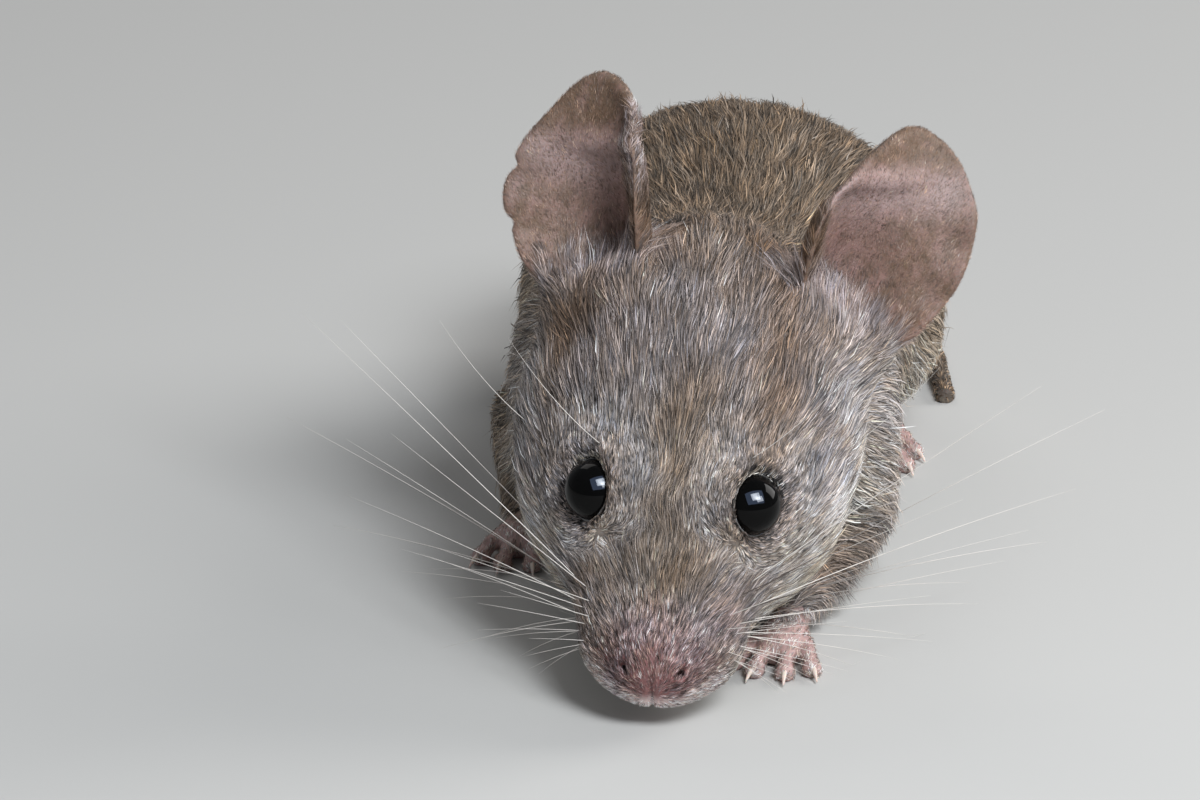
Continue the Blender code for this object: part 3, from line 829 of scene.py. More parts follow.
def skin_colour(at):
    coat = coat_colour(at)
    pink = np.maximum(ramp(-at.nose_gap, -5.2, -2.2), 0.8 * at.pad)
    # Under the coat the skin is near black as painted shade, with a little of the coat's colour; the lip is
    # lightened as painted light
    colour = layered(COAT_GAP_SHADE, (coat * 0.5, 0.35), (NOSE_PINK, pink), (LIP_WITH_PAINTED_LIGHT, at.lip))
    for name, ear in EARS.items():
        across, along, inner = ear_place(at, name)
        mottle = 0.22 * wobble(at.points, 1.4, 41) + 0.2 * wobble(at.points, 0.6, 42)
        above = past_fold(across, along, ear)
        bowl = layered(
            EAR_PINK,
            (EAR_BROWN, np.clip(0.12 + 0.6 * ramp(across, -0.3, 0.4) + mottle, 0, 1)),
            (EAR_MAUVE, 0.7 * bell(above, -0.06, 0.12) * ramp(-across, -1.1, -0.4)),
            (EAR_MAUVE, 0.6 * bell(along, 0.1, 0.2) * bell(across, -0.4, 0.5)),
        )
        pinna = layered(
            bowl * (1 + 0.1 * ramp(-along, -0.5, -0.1))[:, None],
            (EAR_BROWN, np.clip(0.95 + mottle, 0, 1) * ramp(above, 0.01, 0.12)),
            (EAR_TUFT, 0.8 * np.maximum(ear_band(at, name), 0.7 * (1 - inner))),
        )
        colour = layered(colour, (pinna, at.ears[name]))
    paired = np.stack([at.forward, at.out, at.up], axis=-1)
    pit = norm(paired - (NOSTRIL[0] - 0.25, *NOSTRIL[1:]))
    return layered(
        colour,
        (FOOT_PINK, at.foot),
        (TAIL_BROWN, at.tail),
        # Next to the lids the skin takes more of the coat's colour, so less painted shade shows there
        (coat * 0.6, bell(at.eye_gap, 0.3, 0.35)),
        (LID_DARK, ramp(-at.eye_gap, -0.08, 0.0)),
        # Painted shade in the nostril openings
        (NOSTRIL_SHADE, ramp(-pit, -0.75, -0.35)),
    )


# The lie of the coat

def coat_way(at):
    """Unit vectors along the skin, the way that the hairs lie."""
    side = np.sign(at.left)[:, None]
    head = unit(at.points - from_head((13.0, 0, -1.0)))
    flank = ramp(at.sideways, 0.2, 0.9)[:, None]
    body = np.array([0, 1.0, 0]) + flank * (0, 0, -0.75) + side * (0.12, 0, 0)
    way = toward(head, unit(body), ramp(at.y, 1, 15)[:, None])
    low = ramp(-at.z, -7, -3) * ramp(at.y, 6, 10)
    way = way + low[:, None] * (0, -0.2, -0.9)
    for name, ear in EARS.items():
        place = in_ear(at.points, ear)
        fan = ear.rise + ear.across * np.clip(place[:, :1] / ear.width, -0.5, 0.5) * 1.4
        way = toward(way, fan, at.ears[name][:, None])
    for name, foot in FEET.items():
        way = toward(way, foot.ahead, at.feet[name][:, None])
    way = toward(way, tail_place(at.points)[1], at.tail[:, None])
    for side in (1, -1):
        from_eye = at.points - eye_centre(side)
        away = norm(from_eye)
        outward = from_eye / away[:, None]
        into = np.maximum(-dot(way, outward), 0) * ramp(-away, -5.2, -2.6)
        way = way + outward * (1.2 * into + 0.12 * ramp(-away, -4.2, -2.4))[:, None]
    across = np.cross(at.normals, unit(way))
    way = way + across * (0.22 * wobble(at.points, 3.2, 11) + 0.17 * wobble(at.points, 1.1, 12))[:, None]
    return unit(way - at.normals * dot(way, at.normals)[:, None])


def coat_length(at):
    length = np.interp(at.forward, (-12, -6, 0, 4, 7, 9.5), (2.9, 2.4, 2.05, 1.7, 1.1, 0.55))
    length = toward(length, 3.9, at.body)
    near_floor = np.interp(at.z, (0.6, 2.5, 8), (0.7, 1.6, 5.2))
    length = np.minimum(length, near_floor + 5 * (1 - at.body))
    length = length * (0.24 + 0.76 * ramp(at.eye_gap, 0.1, 2.6))
    for name in EARS:
        across, along, inner = ear_place(at, name)
        length = length * (1 - 0.35 * inner * bell(along, 0.0, 0.14) * bell(across, 0, 1.2))
    length = toward(length, 0.34, at.ear)
    for name in EARS:
        length = length + 3.0 * ear_fringe(at, name) + 0.7 * ear_band(at, name) + 0.9 * ear_foot(at, name)
    return toward(toward(length, 0.6, at.foot), 0.75, at.tail)


def coat_density(at):
    """Hairs in each square millimetre."""
    density = np.interp(at.forward, (-12, -4, 2, 6, 9), (135, 172, 222, 265, 290))
    density = toward(density, 76 * (1 - 0.45 * at.under), at.body)
    density = toward(density, 80, at.ear)
    density = toward(toward(density, 45, at.foot), 30, at.tail)
    density = density * (0.12 + 0.88 * ramp(at.nose_gap, 0.9, 2.6))
    density = density * ramp(at.eye_gap, -0.16, -0.06) * (1 + 0.6 * bell(at.eye_gap, 0.15, 0.3))
    return density * (at.z > 0.05)


def coat_width(at):
    width = np.interp(at.forward, (-10, 0, 6, 9), (0.058, 0.048, 0.04, 0.03))
    width = toward(toward(width, 0.07, at.body), 0.024, at.ear)
    width = width + 0.014 * np.maximum(*[ear_band(at, name) + ear_foot(at, name) for name in EARS])
    return toward(toward(width, 0.04, at.foot), 0.05, at.tail)


# The coat

CLUMP_HAIRS = 9      # hairs whose tips draw together into one lock
LOCK = 0.5           # how far they are drawn
COAT_LIFT = 0.2      # height of the tips over the skin, as a share of the length
STRAY = 0.17         # how far single hairs turn aside, as a share of their length
ROLL = 0.45          # radians that single blades turn about their length
HAIR_CONTRAST = 0.3  # spread of brightness from hair to hair
LOCK_CONTRAST = 0.32  # and from lock to lock
DARK_HAIRS, DARK_SHADE = 0.2, 0.27    # share of the hairs, and their brightness
PALE_HAIRS, PALE_SHADE = 0.24, 1.5
ROOT_SHADE = 0.1     # brightness of the roots under the full coat, partly the hairs' own grey base and partly painted shade deep in the coat
# Brightness of the roots where the skin is bare, with little painted shade
BARE_ROOT_SHADE = 0.75
ROOT_DEPTH = 0.06    # how far the roots reach into the skin
TIP_SHADES = (0.5, 1.15)              # of the dark-tipped hairs and of the others
DARK_TIPS = 0.3


def scatter(vertices, quads, normals, random):
    """Roots of the hairs and the normals there, as many in each face as its density asks for."""
    triangles = np.concatenate([quads[:, (0, 1, 2)], quads[:, (0, 2, 3)]])
    corners = vertices[triangles]
    first, second = corners[:, 1] - corners[:, 0], corners[:, 2] - corners[:, 0]
    area = norm(np.cross(first, second)) / 2
    density = coat_density(Place(corners.mean(axis=1), unit(normals[triangles].mean(axis=1))))
    reach = np.concatenate([[0], np.cumsum(area * density)])
    chosen = np.searchsorted(reach, np.sort(random.uniform(0, reach[-1], int(reach[-1])))) - 1
    chosen = np.clip(chosen, 0, len(triangles) - 1)
    share = random.dirichlet((1, 1, 1), len(chosen))[:, :, None]
    return (corners[chosen] * share).sum(axis=1), unit((normals[triangles[chosen]] * share).sum(axis=1))


def nearest_of(centres, points):
    tree = KDTree(len(centres))
    for number, centre in enumerate(centres):
        tree.insert(centre, number)
    tree.balance()
    return np.array([tree.find(point)[1] for point in points.tolist()])


class Coat:
    """The hairs: root, middle and tip of each, with its width, its side vector and its colours."""

    def __init__(self, vertices, quads, normals):
        random = np.random.default_rng(SEED)
        self.roots, self.normals = scatter(vertices, quads, normals, random)
        count = len(self.roots)
        at = self.at = Place(self.roots, self.normals)
        way = coat_way(at)
        length = coat_length(at) * random.uniform(0.72, 1.15, count)
        length = length * (1 + 0.12 * wobble(self.roots, 2.0, 21))
        firsts = np.arange(0, count, CLUMP_HAIRS)
        centres = np.minimum(firsts + random.integers(0, CLUMP_HAIRS, len(firsts)), count - 1)
        clump = centres[nearest_of(self.roots[centres], self.roots)]
        across = np.cross(self.normals, way)
        stray = random.normal(0, STRAY, count)
        stray_way = unit(way + across * stray[:, None])
        free_tip = self.roots + stray_way * length[:, None]
        lock_tip = self.roots[clump] + way[clump] * length[clump, None]
        loose = np.maximum(at.ear, at.tail)
        pull = (LOCK * (1 - loose) * random.uniform(0.4, 1.2, count))[:, None]
        tip = free_tip * (1 - pull) + lock_tip * pull
        middle = self.roots + (tip - self.roots) * 0.5 - (lock_tip - free_tip) * pull * 0.2
        height = length * COAT_LIFT * (1 - 0.25 * at.body) * random.uniform(0.45, 1.35, count)
        height = np.where(random.uniform(size=count) < 0.02, height * 1.6, height)
        self.middle = self.at_height(middle, 0.72 * height)
        self.tip = self.at_height(tip, height)
        roll = random.normal(0, ROLL, count)
        self.side = unit(across * np.cos(roll)[:, None] + self.normals * np.sin(roll)[:, None])
        self.width = coat_width(at) * random.uniform(0.7, 1.3, count)
        self.paint(clump, random)

    def at_height(self, points, height):
        """The points moved along their roots' normals to this height over the skin."""
        step = np.clip(height - skin_distance(points), -1.2, 1.6)
        moved = points + self.normals * step[:, None]
        moved[:, 2] = np.maximum(moved[:, 2], FLOOR + 0.03)
        return moved

    def paint(self, clump, random):
        count = len(self.roots)
        colour = coat_colour(self.at)
        kind = 0.5 + (random.uniform(size=count) - 0.5) * (1 - 0.45 * self.at.ear)
        bright = np.exp(random.normal(0, HAIR_CONTRAST, count))
        bright = bright * np.exp(random.normal(0, LOCK_CONTRAST, count))[clump]
        bright = np.where(kind < DARK_HAIRS, bright * DARK_SHADE, bright)
        bright = np.where(kind > 1 - PALE_HAIRS, bright * PALE_SHADE, bright)
        bright = bright ** (1 + 0.35 * ramp(-self.at.nose_gap, -5, -3))
        warm = random.normal(0, 0.06, count)
        colour = colour * bright[:, None] * (1 + warm[:, None] * (1, 0.2, -1))
        tip_shade = np.where(random.uniform(size=count) < DARK_TIPS, *TIP_SHADES)
        # Roots are darkened, partly their own grey base and partly painted shade in the coat, less where
        # the skin is bare
        root_shade = ROOT_SHADE + (BARE_ROOT_SHADE - ROOT_SHADE) * bareness(self.at)
        self.colours = np.stack([colour * root_shade[:, None], colour, colour * tip_shade[:, None]], axis=1)
        self.colours = np.clip(self.colours, 0, 0.95)


def blades(coat, chosen):
    """Vertices, faces and colours of thin tapered blades, each a quad and a triangle."""
    half = coat.side[chosen] * coat.width[chosen, None] / 2
    root, middle, tip = (values[chosen] for values in (coat.roots, coat.middle, coat.tip))
    root = root - coat.normals[chosen] * ROOT_DEPTH
    corners = np.stack([root - half, root + half, middle - half * 0.85, middle + half * 0.85, tip], axis=1)
    first = np.arange(len(root))[:, None] * 5
    colours = coat.colours[chosen][:, (0, 0, 1, 1, 2)]
    return corners.reshape(-1, 3), first + (0, 1, 3, 2), first + (2, 3, 4), colours.reshape(-1, 3)


# The coat's pieces, and where their tufts lie on an unwrap of the skin

PATCH = 0.003        # across one tuft's patch of the bake map


def round_chart(points, centre, axes):
    """Longitude and latitude round a centre, with the axes' last row as the pole."""
    x, y, z = np.moveaxis((points - centre) @ axes.T, -1, 0)
    return np.stack([np.arctan2(y, x), np.arctan2(z, np.hypot(x, y))], axis=1)


def head_chart(at):
    return round_chart(at.points, from_head((-2.5, 0, -3.5)), HEAD[[2, 1, 0]])


def body_chart(at):
    around = np.arctan2(at.x - SPINE_X * 0.7, at.z - EYE_HEIGHT)
    return np.stack([around * 9.0, at.y], axis=1)


def ear_chart(at):
    """Front and back of both pinnae, side by side."""
    chart = np.zeros((len(at.points), 2))
    for column, (name, ear) in enumerate(EARS.items()):
        across, along, _ = np.moveaxis(in_ear(at.points, ear), -1, 0)
        behind = dot(at.normals, ear.look[None]) < 0
        here = at.ears[name] >= at.ear
        place = np.stack([across + 12 * behind + 24 * column, along], axis=1)
        chart[here] = place[here]
    return chart


def limb_chart(at):
    """The feet from above, one beside another, and the tail as a strip."""
    along, way = tail_place(at.points)
    beside = np.cross(way, (0, 0, 1.0))
    last = TAIL_STATIONS - 1
    station = np.clip(np.rint(along / TAIL_LENGTH * last).astype(int), 0, last)
    offset = at.points - TAIL_CENTRES[station]
    around = np.arctan2(dot(offset, beside), offset[:, 2])
    chart = np.stack([along, around * 3 - 16], axis=1)
    for column, (name, foot) in enumerate(FEET.items()):
        here = (at.feet[name] > 0.1) & (at.tail < 0.5)
        offset = at.points - foot.middle
        place = np.stack([offset @ foot.out + 9 * column, offset @ foot.ahead], axis=1)
        chart[here] = place[here]
    return chart


def coat_pieces(at):
    """(name, which hairs, chart) of each piece of the coat."""
    ear = at.ear > 0.5
    limb = ((at.foot > 0.1) | (at.tail > 0.3)) & ~ear
    head = (at.body < 0.5) & ~ear & ~limb
    body = ~(ear | limb | head)
    on_head = head, at.forward, at.left > 0, head_chart
    on_body = body, at.y, at.x >= SPINE_X, body_chart
    for name, start, end, (part, place, left, chart) in (
        ("muzzle", 4.6, 99, on_head), ("face", -1, 4.6, on_head), ("crown", -99, -1, on_head),
        ("shoulders", -99, 22, on_body), ("back", 22, 38, on_body), ("rump", 38, 99, on_body),
    ):
        part = part & (place > start) & (place <= end)
        yield f"coat_{name}_left", part & left, chart
        yield f"coat_{name}_right", part & ~left, chart
    yield "coat_ears", ear, ear_chart
    yield "coat_feet_and_tail", limb, limb_chart


# Meshes

def frame_shift():
    """From the millimetres of this script to the frame's, found from the eyes."""
    middles = [sum(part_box(name), Vector()) / 2 for name in ("eye_left", "eye_right")]
    return np.mean(middles, axis=0) / MM - (eye_centre(1) + eye_centre(-1)) / 2


SHIFT = frame_shift()


def to_frame(points):
    return (np.asarray(points, float) + SHIFT) * MM


def new_object(name, data):
    made = bpy.data.objects.new(name, data)
    bpy.context.scene.collection.objects.link(made)
    return made


def mesh_object(name, vertices, face_groups, material, colours=None):
    """An object in the frame from vertices in millimetres and arrays of faces, one array for each size."""
    sizes = np.concatenate([np.full(len(group), group.shape[1]) for group in face_groups])
    corners = np.concatenate([group.ravel() for group in face_groups])
    mesh = bpy.data.meshes.new(name)
    mesh.vertices.add(len(vertices))
    mesh.loops.add(len(corners))
    mesh.polygons.add(len(sizes))
    mesh.vertices.foreach_set("co", to_frame(vertices).astype(np.float32).ravel())
    mesh.loops.foreach_set("vertex_index", corners.astype(np.int32))
    mesh.polygons.foreach_set("loop_start", (np.cumsum(sizes) - sizes).astype(np.int32))
    mesh.polygons.foreach_set("use_smooth", np.ones(len(sizes), bool))
    mesh.update(calc_edges=True)
    if colours is not None:
        tint = mesh.attributes.new("tint", "FLOAT_COLOR", "POINT")
        tint.data.foreach_set("color", np.c_[colours, np.ones(len(colours))].astype(np.float32).ravel())
    mesh.materials.append(material)
    return new_object(name, mesh)


def finish_piece(piece, slot, *nodes):
    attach(piece, "root")
    if nodes:
        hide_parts(*nodes)
    return piece


def add_coat_piece(name, coat, chosen, chart, material):
    vertices, quads, tips, colours = blades(coat, chosen)
    piece = mesh_object(name, vertices, [quads, tips], material, colours)
    places = chart(coat.at)[chosen]
    spread = np.ptp(places, axis=0).max()
    places = PATCH + (places - places.min(axis=0)) / spread * (1 - 2 * PATCH)
    within_patch = np.array([(-0.5, -0.5), (0.5, -0.5), (-0.4, 0), (0.4, 0), (0, 0.5)]) * PATCH
    corners = (places[:, None] + within_patch).reshape(-1, 2)
    layer = piece.data.uv_layers.new(name="OFBake")
    corners = corners[np.concatenate([quads.ravel(), tips.ravel()])]
    layer.data.foreach_set("uv", corners.astype(np.float32).ravel())
    return finish_piece(piece, "fur")


def ring_quads(rings, sides):
    """Quads between each ring of vertices and the next."""
    step = np.arange(rings - 1)[:, None] * sides
    here, there = np.arange(sides), (np.arange(sides) + 1) % sides
    quads = np.stack([step + here, step + there, step + sides + there, step + sides + here], axis=-1)
    return quads.reshape(-1, 4)


def ring_fan(sides, pole, first):
    """Triangles from the vertex `pole` to the ring that starts at the vertex `first`."""
    here, there = np.arange(sides), (np.arange(sides) + 1) % sides
    return np.stack([np.full(sides, pole), first + here, first + there], axis=-1)


def tube(path, radii, sides):
    """Vertices and faces of a tube along the path, with a fan over its far end."""
    path, radii = np.asarray(path, float), np.asarray(radii, float)
    way = unit(np.gradient(path, axis=0))
    first = unit(np.cross(way, unit(path[-1] - path[0] + (0.31, 0.17, 0.53))))
    second = np.cross(way, first)
    turns = np.arange(sides) * tau / sides
    ring = first[:, None] * np.cos(turns)[:, None] + second[:, None] * np.sin(turns)[:, None]
    vertices = (path[:, None] + ring * radii[:, None, None]).reshape(-1, 3)
    ends = ring_fan(sides, len(vertices), (len(path) - 1) * sides)
    return np.vstack([vertices, path[-1]]), ring_quads(len(path), sides), ends


def joined(tubes):
    """Many tubes as one set of vertices and faces."""
    firsts = np.cumsum([0] + [len(vertices) for vertices, _, _ in tubes[:-1]])
    quads = [quads + first for (_, quads, _), first in zip(tubes, firsts)]
    ends = [ends + first for (_, _, ends), first in zip(tubes, firsts)]
    vertices = np.concatenate([vertices for vertices, _, _ in tubes])
    return vertices, [np.concatenate(quads), np.concatenate(ends)]


# Whiskers and claws

WHISKER_ROWS = 5
WHISKERS_IN_ROW = 5
WHISKER_STATIONS = 16
WHISKER_RADIUS = 0.032
CHIN_WHISKER_RADIUS = 0.028
BROW_WHISKER_RADIUS = 0.026
CHIN_WHISKERS = 9
WHISKER_SIDES = 6
WHISKER_DARK, WHISKER_PALE = np.array([0.10, 0.08, 0.07]), np.array([0.78, 0.73, 0.68])
CLAW_STATIONS, CLAW_SIDES = 7, 8


def whisker_path(root, way, droop, length):
    share = np.linspace(0, 1, WHISKER_STATIONS)[:, None]
    path = root + way * length * share + droop * length * share**2
    path[:, 2] = np.maximum(path[:, 2], FLOOR + 0.12)
    return path


def on_skin(point, outward):
    """The place where a line from the point, along outward, leaves the skin."""
    reach = np.linspace(-4, 4, 161)[:, None]
    line = point + outward * reach
    inside = skin_distance(line) < 0
    return line[np.flatnonzero(inside)[-1]] if inside.any() else np.asarray(point)


def whiskers():
    """(path, base radius) of every whisker: five rows on each pad, with a few on brow, cheek and chin."""
    random = np.random.default_rng(SEED + 1)
    for side in (1, -1):
        for row in range(WHISKER_ROWS):
            for column in range(WHISKERS_IN_ROW - (row == 0)):
                front = column / (WHISKERS_IN_ROW - 1)
                forward = 5.0 + 3.6 * front - 0.25 * abs(row - 2) + random.normal(0, 0.1)
                up = -0.9 - 0.62 * row + 0.25 * front + random.normal(0, 0.08)
                outward = unit(head_way(0.1, side, 0.1))
                root = on_skin(from_head((forward, side * 3.0, up)), outward)
                length = 19.5 * (1 - front) ** 1.3 + 3.4 - 2.0 * abs(row - 1.2) * (1 - front)
                rise = 0.75 - 0.42 * row + random.normal(0, 0.08)
                sweep = -0.62 + 0.85 * front + random.normal(0, 0.08)
                way = unit(head_way(sweep, side, rise))
                droop = head_way(-0.1, 0, -0.04 - 0.05 * row) + (0, 0, -0.1)
                yield whisker_path(root, way, droop, length), WHISKER_RADIUS * (0.55 + 0.45 * (1 - front))
        for forward, out, up, length in ((-1.6, 4.0, 2.4, 8), (-4, 7.5, -3.5, 8)):
            way = unit(head_way(-0.25, side * 0.75, 0.8))
            root = on_skin(from_head((forward, side * out, up)), way)
            yield whisker_path(root, way, head_way(-0.25, 0, -0.1), length), BROW_WHISKER_RADIUS
        for number in range(CHIN_WHISKERS):
            forward, out = 9.2 - 0.55 * number, 0.5 + 0.22 * number
            root = on_skin(from_head((forward, side * out, -4.4)), unit(head_way(0, side * 0.3, -1)))
            way = unit(head_way(0.1, side * (0.5 + 0.08 * number), -0.75) + (0, 0, 0.2))
            droop = head_way(-0.2, side * 0.1, 0.1)
            yield whisker_path(root, way, droop, 2.2 + 0.25 * number), CHIN_WHISKER_RADIUS


def add_whiskers(material):
    paths = list(whiskers())
    taper = np.linspace(1, 0.08, WHISKER_STATIONS) ** 0.8
    vertices, faces = joined([tube(path, radius * taper, WHISKER_SIDES) for path, radius in paths])
    share = np.append(np.repeat(np.linspace(0, 1, WHISKER_STATIONS), WHISKER_SIDES), 1.0)
    colours = []
    for number, (path, radius) in enumerate(paths):
        start = WHISKER_DARK if number % 3 and radius > CHIN_WHISKER_RADIUS else WHISKER_PALE
        colours.append(start + (WHISKER_PALE - start) * ramp(share, 0.1, 0.8)[:, None])
    return finish_piece(mesh_object("whiskers", vertices, faces, material, np.concatenate(colours)), "fur")


def add_claws(material):
    tubes = []
    for foot in FEET.values():
        for _, knuckle, tip in foot.toes():
            way = unit((tip - knuckle) * (1, 1, 0))
            share = np.linspace(0, 1, CLAW_STATIONS)[:, None]
            start = tip + way * TOE_RADIUS * 0.45 + (0, 0, 0.16)
            path = start + way * CLAW_LENGTH * share + np.array([0, 0, -0.42]) * share**2
            tubes.append(tube(path, CLAW_RADIUS * np.linspace(1, 0.1, CLAW_STATIONS) ** 0.7, CLAW_SIDES))
    vertices, faces = joined(tubes)
    return finish_piece(mesh_object("claws", vertices, faces, material), "bare_skin")


# Eyes

EYE_RINGS, EYE_SEGMENTS = 48, 64
EYE_BULGE = 0.02     # of the clear front, as a share of the radius
TEAR_STATIONS = 97


def add_eye(name, side, material):
    """An eyeball whose clear front bulges a little."""
    rings, segments = EYE_RINGS, EYE_SEGMENTS
    openings, turns = np.linspace(0, np.pi, rings), np.arange(segments) * tau / segments
    opening, turn = np.meshgrid(openings, turns, indexing="ij")
    vertices = from_ball(side, opening, turn, EYE_RADIUS * (1 + EYE_BULGE * bell(opening, 0, 0.8)))
    vertices = vertices[1:-1].reshape(-1, 3)
    poles = eye_centre(side) + np.outer((EYE_RADIUS * (1 + EYE_BULGE), -EYE_RADIUS), eye_axes(side)[0])
    quads = ring_quads(rings - 2, segments)[:, (0, 3, 2, 1)]
    front, back = len(vertices), len(vertices) + 1
    last = (rings - 3) * segments
    caps = [ring_fan(segments, front, 0), ring_fan(segments, back, last)[:, (0, 2, 1)]]
    faces = [quads, np.concatenate(caps)]
    made = mesh_object(f"{name}_ball", np.vstack([vertices, poles]), faces, material)
    return finish_piece(made, "eye", name)


def add_tear_line(name, side, material):
    """The thin wet edge where the eye meets its lids, thickest below, coloured pale grey as a painted
    highlight of its wet film.
    """
    turn = np.linspace(0, tau, TEAR_STATIONS)
    path = from_ball(side, np.radians(lid_edge(turn) - 3.5), turn, EYE_RADIUS + 0.015)
    low = ramp(-unit(path - eye_centre(side)) @ FACE_UP, -0.3, 0.6)
    vertices, quads, _ = tube(path, 0.01 + 0.035 * low, 8)
    made = mesh_object(f"tear_line_{name}", vertices[:-1], [quads], material)
    return finish_piece(made, "eye")


# Materials

def fill(tree, inputs, values):
    """Gives each named or numbered input its value, or the link to another node's output."""
    for name, value in values:
        if isinstance(value, bpy.types.NodeSocket):
            tree.links.new(value, inputs[name])
        else:
            inputs[name].default_value = value


def surface(name, roughness, specular, **values):
    """A material, its nodes and its shader, with the shader's other values by name."""
    made = bpy.data.materials.new(name)
    made.use_nodes = True
    shader = made.node_tree.nodes["Principled BSDF"]
    values = {"Roughness": roughness, "Specular IOR Level": specular, **values}
    fill(made.node_tree, shader.inputs, values.items())
    return made, made.node_tree, shader


def node(tree, kind, *values, output=0, settings=(), **named):
    """One output of a new node whose inputs have these values or links."""
    made = tree.nodes.new(kind)
    for name, value in settings:
        setattr(made, name, value)
    fill(tree, made.inputs, [*enumerate(values), *named.items()])
    return made.outputs[output]


def noise(tree, per_millimetre):
    place = node(tree, "ShaderNodeTexCoord", output="Object")
    scale = per_millimetre / MM
    return node(tree, "ShaderNodeTexNoise", output="Fac", Vector=place, Scale=scale, Detail=3.0)


def scaled(tree, value, low, high):
    values = {"Value": value, "To Min": low, "To Max": high}
    return node(tree, "ShaderNodeMapRange", output="Result", **values)


def math_node(tree, operation, *values):
    return node(tree, "ShaderNodeMath", *values, output="Value", settings=[("operation", operation)])


def attribute(tree, name, output):
    return node(tree, "ShaderNodeAttribute", output=output, settings=[("attribute_name", name)])


def tinted(tree, shader, per_millimetre, low, high):
    """The piece's own colours, made lighter and darker by a noise."""
    shade = scaled(tree, noise(tree, per_millimetre), low, high)
    tint = attribute(tree, "tint", "Color")
    settings = [("operation", "SCALE")]
    colour = node(tree, "ShaderNodeVectorMath", tint, output="Vector", settings=settings, Scale=shade)
    fill(tree, shader.inputs, [("Base Color", colour)])


def greyed(tree, shader, per_millimetre, low, high):
    """A grey that a noise makes lighter and darker."""
    shade = scaled(tree, noise(tree, per_millimetre), low, high)
    colour = node(tree, "ShaderNodeCombineColor", shade, shade, shade, output="Color")
    fill(tree, shader.inputs, [("Base Color", colour)])


def skin_material():
    """Bare skin, pinnae, the tail's rings of scales and the skin under the coat, whose dark colour is
    painted shade.
    """
    depth = {"Subsurface Weight": 0.18, "Subsurface Radius": (1.0, 0.4, 0.25), "Subsurface Scale": 0.5 * MM}
    made, tree, shader = surface("mouse_skin", 0.48, 0.4, **depth)
    tinted(tree, shader, 1.3, 0.78, 1.2)
    along = attribute(tree, "tail_along", "Fac")
    ring = math_node(tree, "SINE", math_node(tree, "MULTIPLY", along, tau / TAIL_RING))
    on_tail = math_node(tree, "GREATER_THAN", along, 0.01)
    grain = math_node(tree, "ADD", noise(tree, 5.0), math_node(tree, "MULTIPLY", noise(tree, 14.0), 0.5))
    height = math_node(tree, "ADD", grain, math_node(tree, "MULTIPLY", ring, on_tail))
    bump = node(tree, "ShaderNodeBump", output="Normal", Distance=0.05 * MM, Strength=1.0, Height=height)
    fill(tree, shader.inputs, [("Normal", bump)])
    return made


def coloured(name, roughness, specular, colouring, per_millimetre, low, high):
    """A material whose colour is tinted or greyed."""
    made, tree, shader = surface(name, roughness, specular)
    colouring(tree, shader, per_millimetre, low, high)
    return made


def claw_material():
    depth = {"Subsurface Weight": 0.2, "Subsurface Scale": 0.3 * MM}
    made, tree, shader = surface("mouse_claw", 0.28, 0.5, **depth)
    mixer = tree.nodes.new("ShaderNodeMix")
    mixer.data_type = "RGBA"
    ends = [("A", (0.66, 0.52, 0.46, 1)), ("B", (0.82, 0.72, 0.64, 1))]
    fill(tree, mixer.inputs, [("Factor", noise(tree, 2.5)), *ends])
    fill(tree, shader.inputs, [("Base Color", mixer.outputs["Result"])])
    return made


# Studio

CAMERA_DISTANCE = 420.0
CAMERA_SENSOR = 36.0
CAMERA_VIEW = 66.667                 # width of the picture at the eyes
CAMERA_AIM = (-4.14, 5.39)           # to the side and up the face, from the point between the eyes

# name, azimuth and height in degrees, distance, width, height, watts, colour
LIGHTS = (
    ("window_upper", 22, 47, 370, 96, 120, 0.76, (0.93, 0.965, 1.0)),
    ("window_lower", 31, 41, 370, 120, 96, 0.70, (0.93, 0.965, 1.0)),
    ("side", 112, 28, 420, 240, 240, 0.95, (1.0, 0.985, 0.97)),
    ("rim", 205, 48, 420, 200, 200, 0.18, (1.0, 0.97, 0.93)),
)
# The same, for soft lights that only the eyes mirror, as a patch of sky
CATCH_LIGHTS = (
    ("sky_core", 25, 47, 360, 190, 160, 4.2, (0.80, 0.88, 1.0)),
    ("sky_corner", 39, 35, 362, 150, 110, 2.0, (0.86, 0.92, 1.0)),
    ("sky_wide", 21, 45, 380, 460, 340, 3.4, (0.45, 0.62, 1.0)),
)
WORLD_COLOUR = (0.86, 0.90, 0.96)
WORLD_STRENGTH = 0.2
FLOOR_HALF = 4000.0
FLOOR_COLOUR = (0.54, 0.535, 0.52)


def aim_at(made, place, target):
    made.location = place
    made.rotation_mode = "QUATERNION"
    made.rotation_quaternion = (Vector(target) - Vector(place)).to_track_quat("-Z", "Y")


def add_light(name, azimuth, height, distance, wide, tall, watts, colour):
    data = bpy.data.lights.new(name, "AREA")
    data.shape = "RECTANGLE"
    data.size, data.size_y = wide * MM, tall * MM
    data.energy = watts
    data.color = colour
    made = new_object(name, data)
    around, above = radians(azimuth), radians(height)
    way = np.array([sin(around) * cos(above), -cos(around) * cos(above), sin(above)])
    middle = BETWEEN_EYES + (0, 12, 2)
    aim_at(made, to_frame(middle + way * distance), to_frame(middle))
    return made


def add_catch_lights(eyes):
    """Lights that only the eyes mirror."""
    receivers = bpy.data.collections.new("eyes")
    for eye in eyes:
        receivers.objects.link(eye)
    for light in CATCH_LIGHTS:
        made = add_light(*light)
        made.light_linking.receiver_collection = receivers
        made.visible_diffuse = False


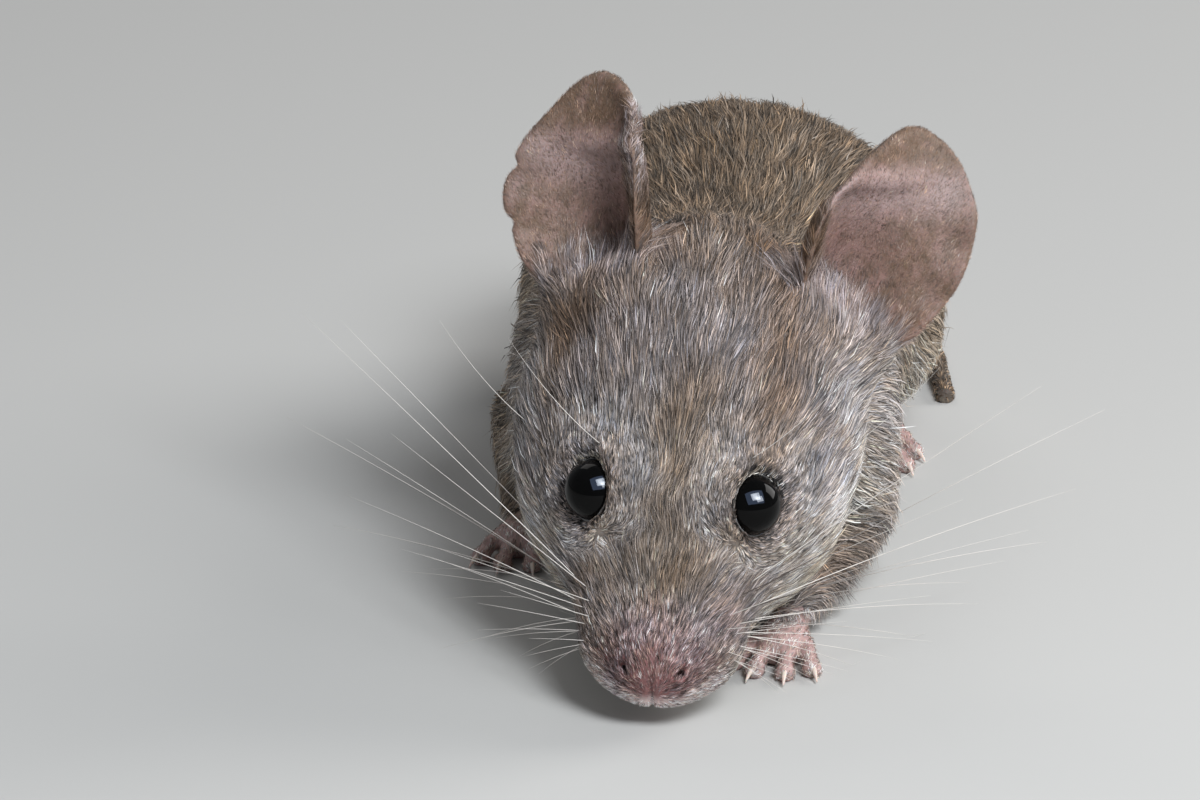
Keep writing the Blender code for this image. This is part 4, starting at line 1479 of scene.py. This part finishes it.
def add_camera():
    data = bpy.data.cameras.new("camera")
    data.sensor_width = CAMERA_SENSOR
    data.lens = CAMERA_SENSOR * CAMERA_DISTANCE / CAMERA_VIEW
    data.clip_start, data.clip_end = 0.01, 20
    made = new_object("camera", data)
    aim = BETWEEN_EYES + CAMERA_AIM[0] * SIDEWAYS + CAMERA_AIM[1] * FACE_UP
    aim_at(made, to_frame(aim + CAMERA_DISTANCE * FACE_OUT), to_frame(aim))
    bpy.context.scene.camera = made


def add_floor():
    corners = np.array([(-1, -1, 0), (1, -1, 0), (1, 1, 0), (-1, 1, 0)]) * FLOOR_HALF
    grey = surface("studio_floor", 0.9, 0.1, **{"Base Color": (*FLOOR_COLOUR, 1)})[0]
    mesh_object("floor", corners - SHIFT * (0, 0, 1), [np.array([[0, 1, 2, 3]])], grey)


def add_world():
    world = bpy.data.worlds.new("studio")
    world.use_nodes = True
    background = world.node_tree.nodes["Background"]
    background.inputs["Color"].default_value = (*WORLD_COLOUR, 1)
    background.inputs["Strength"].default_value = WORLD_STRENGTH
    bpy.context.scene.world = world
    bpy.context.scene.view_settings.view_transform = "Standard"


# The model

FLESH_NODES = [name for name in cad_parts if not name.startswith("eye_")]


def add_skin(vertices, quads, normals):
    at = Place(vertices, normals)
    skin = mesh_object("skin", vertices, [quads], skin_material(), skin_colour(at))
    along = np.where(at.tail > 0.3, tail_place(vertices)[0], 0).astype(np.float32)
    skin.data.attributes.new("tail_along", "FLOAT", "POINT").data.foreach_set("value", along)
    return finish_piece(skin, "bare_skin", *FLESH_NODES)


def build():
    vertices, quads, normals = make_skin()
    add_skin(vertices, quads, normals)
    coat = Coat(vertices, quads, normals)
    fur = coloured("mouse_fur", 0.5, 0.3, tinted, 0.5, 0.85, 1.12)
    for name, hairs, chart in coat_pieces(coat.at):
        add_coat_piece(name, coat, np.flatnonzero(hairs), chart, fur)
    add_whiskers(coloured("mouse_whisker", 0.3, 0.5, tinted, 0.8, 0.9, 1.1))
    add_claws(claw_material())
    eye = coloured("mouse_eye", 0.04, 0.12, greyed, 0.7, 0.001, 0.003)
    # The wet edge's pale grey colour is a painted highlight
    tear_highlight = coloured("mouse_tear_line_painted_highlight", 0.06, 0.7, greyed, 1.5, 0.2, 0.36)
    eyes = []
    for name, side in (("eye_left", 1), ("eye_right", -1)):
        eyes.append(add_eye(name, side, eye))
        add_tear_line(name, side, tear_highlight)
    return eyes


eyes = build()
add_floor()
add_world()
add_camera()
for light in LIGHTS:
    add_light(*light)
add_catch_lights(eyes)
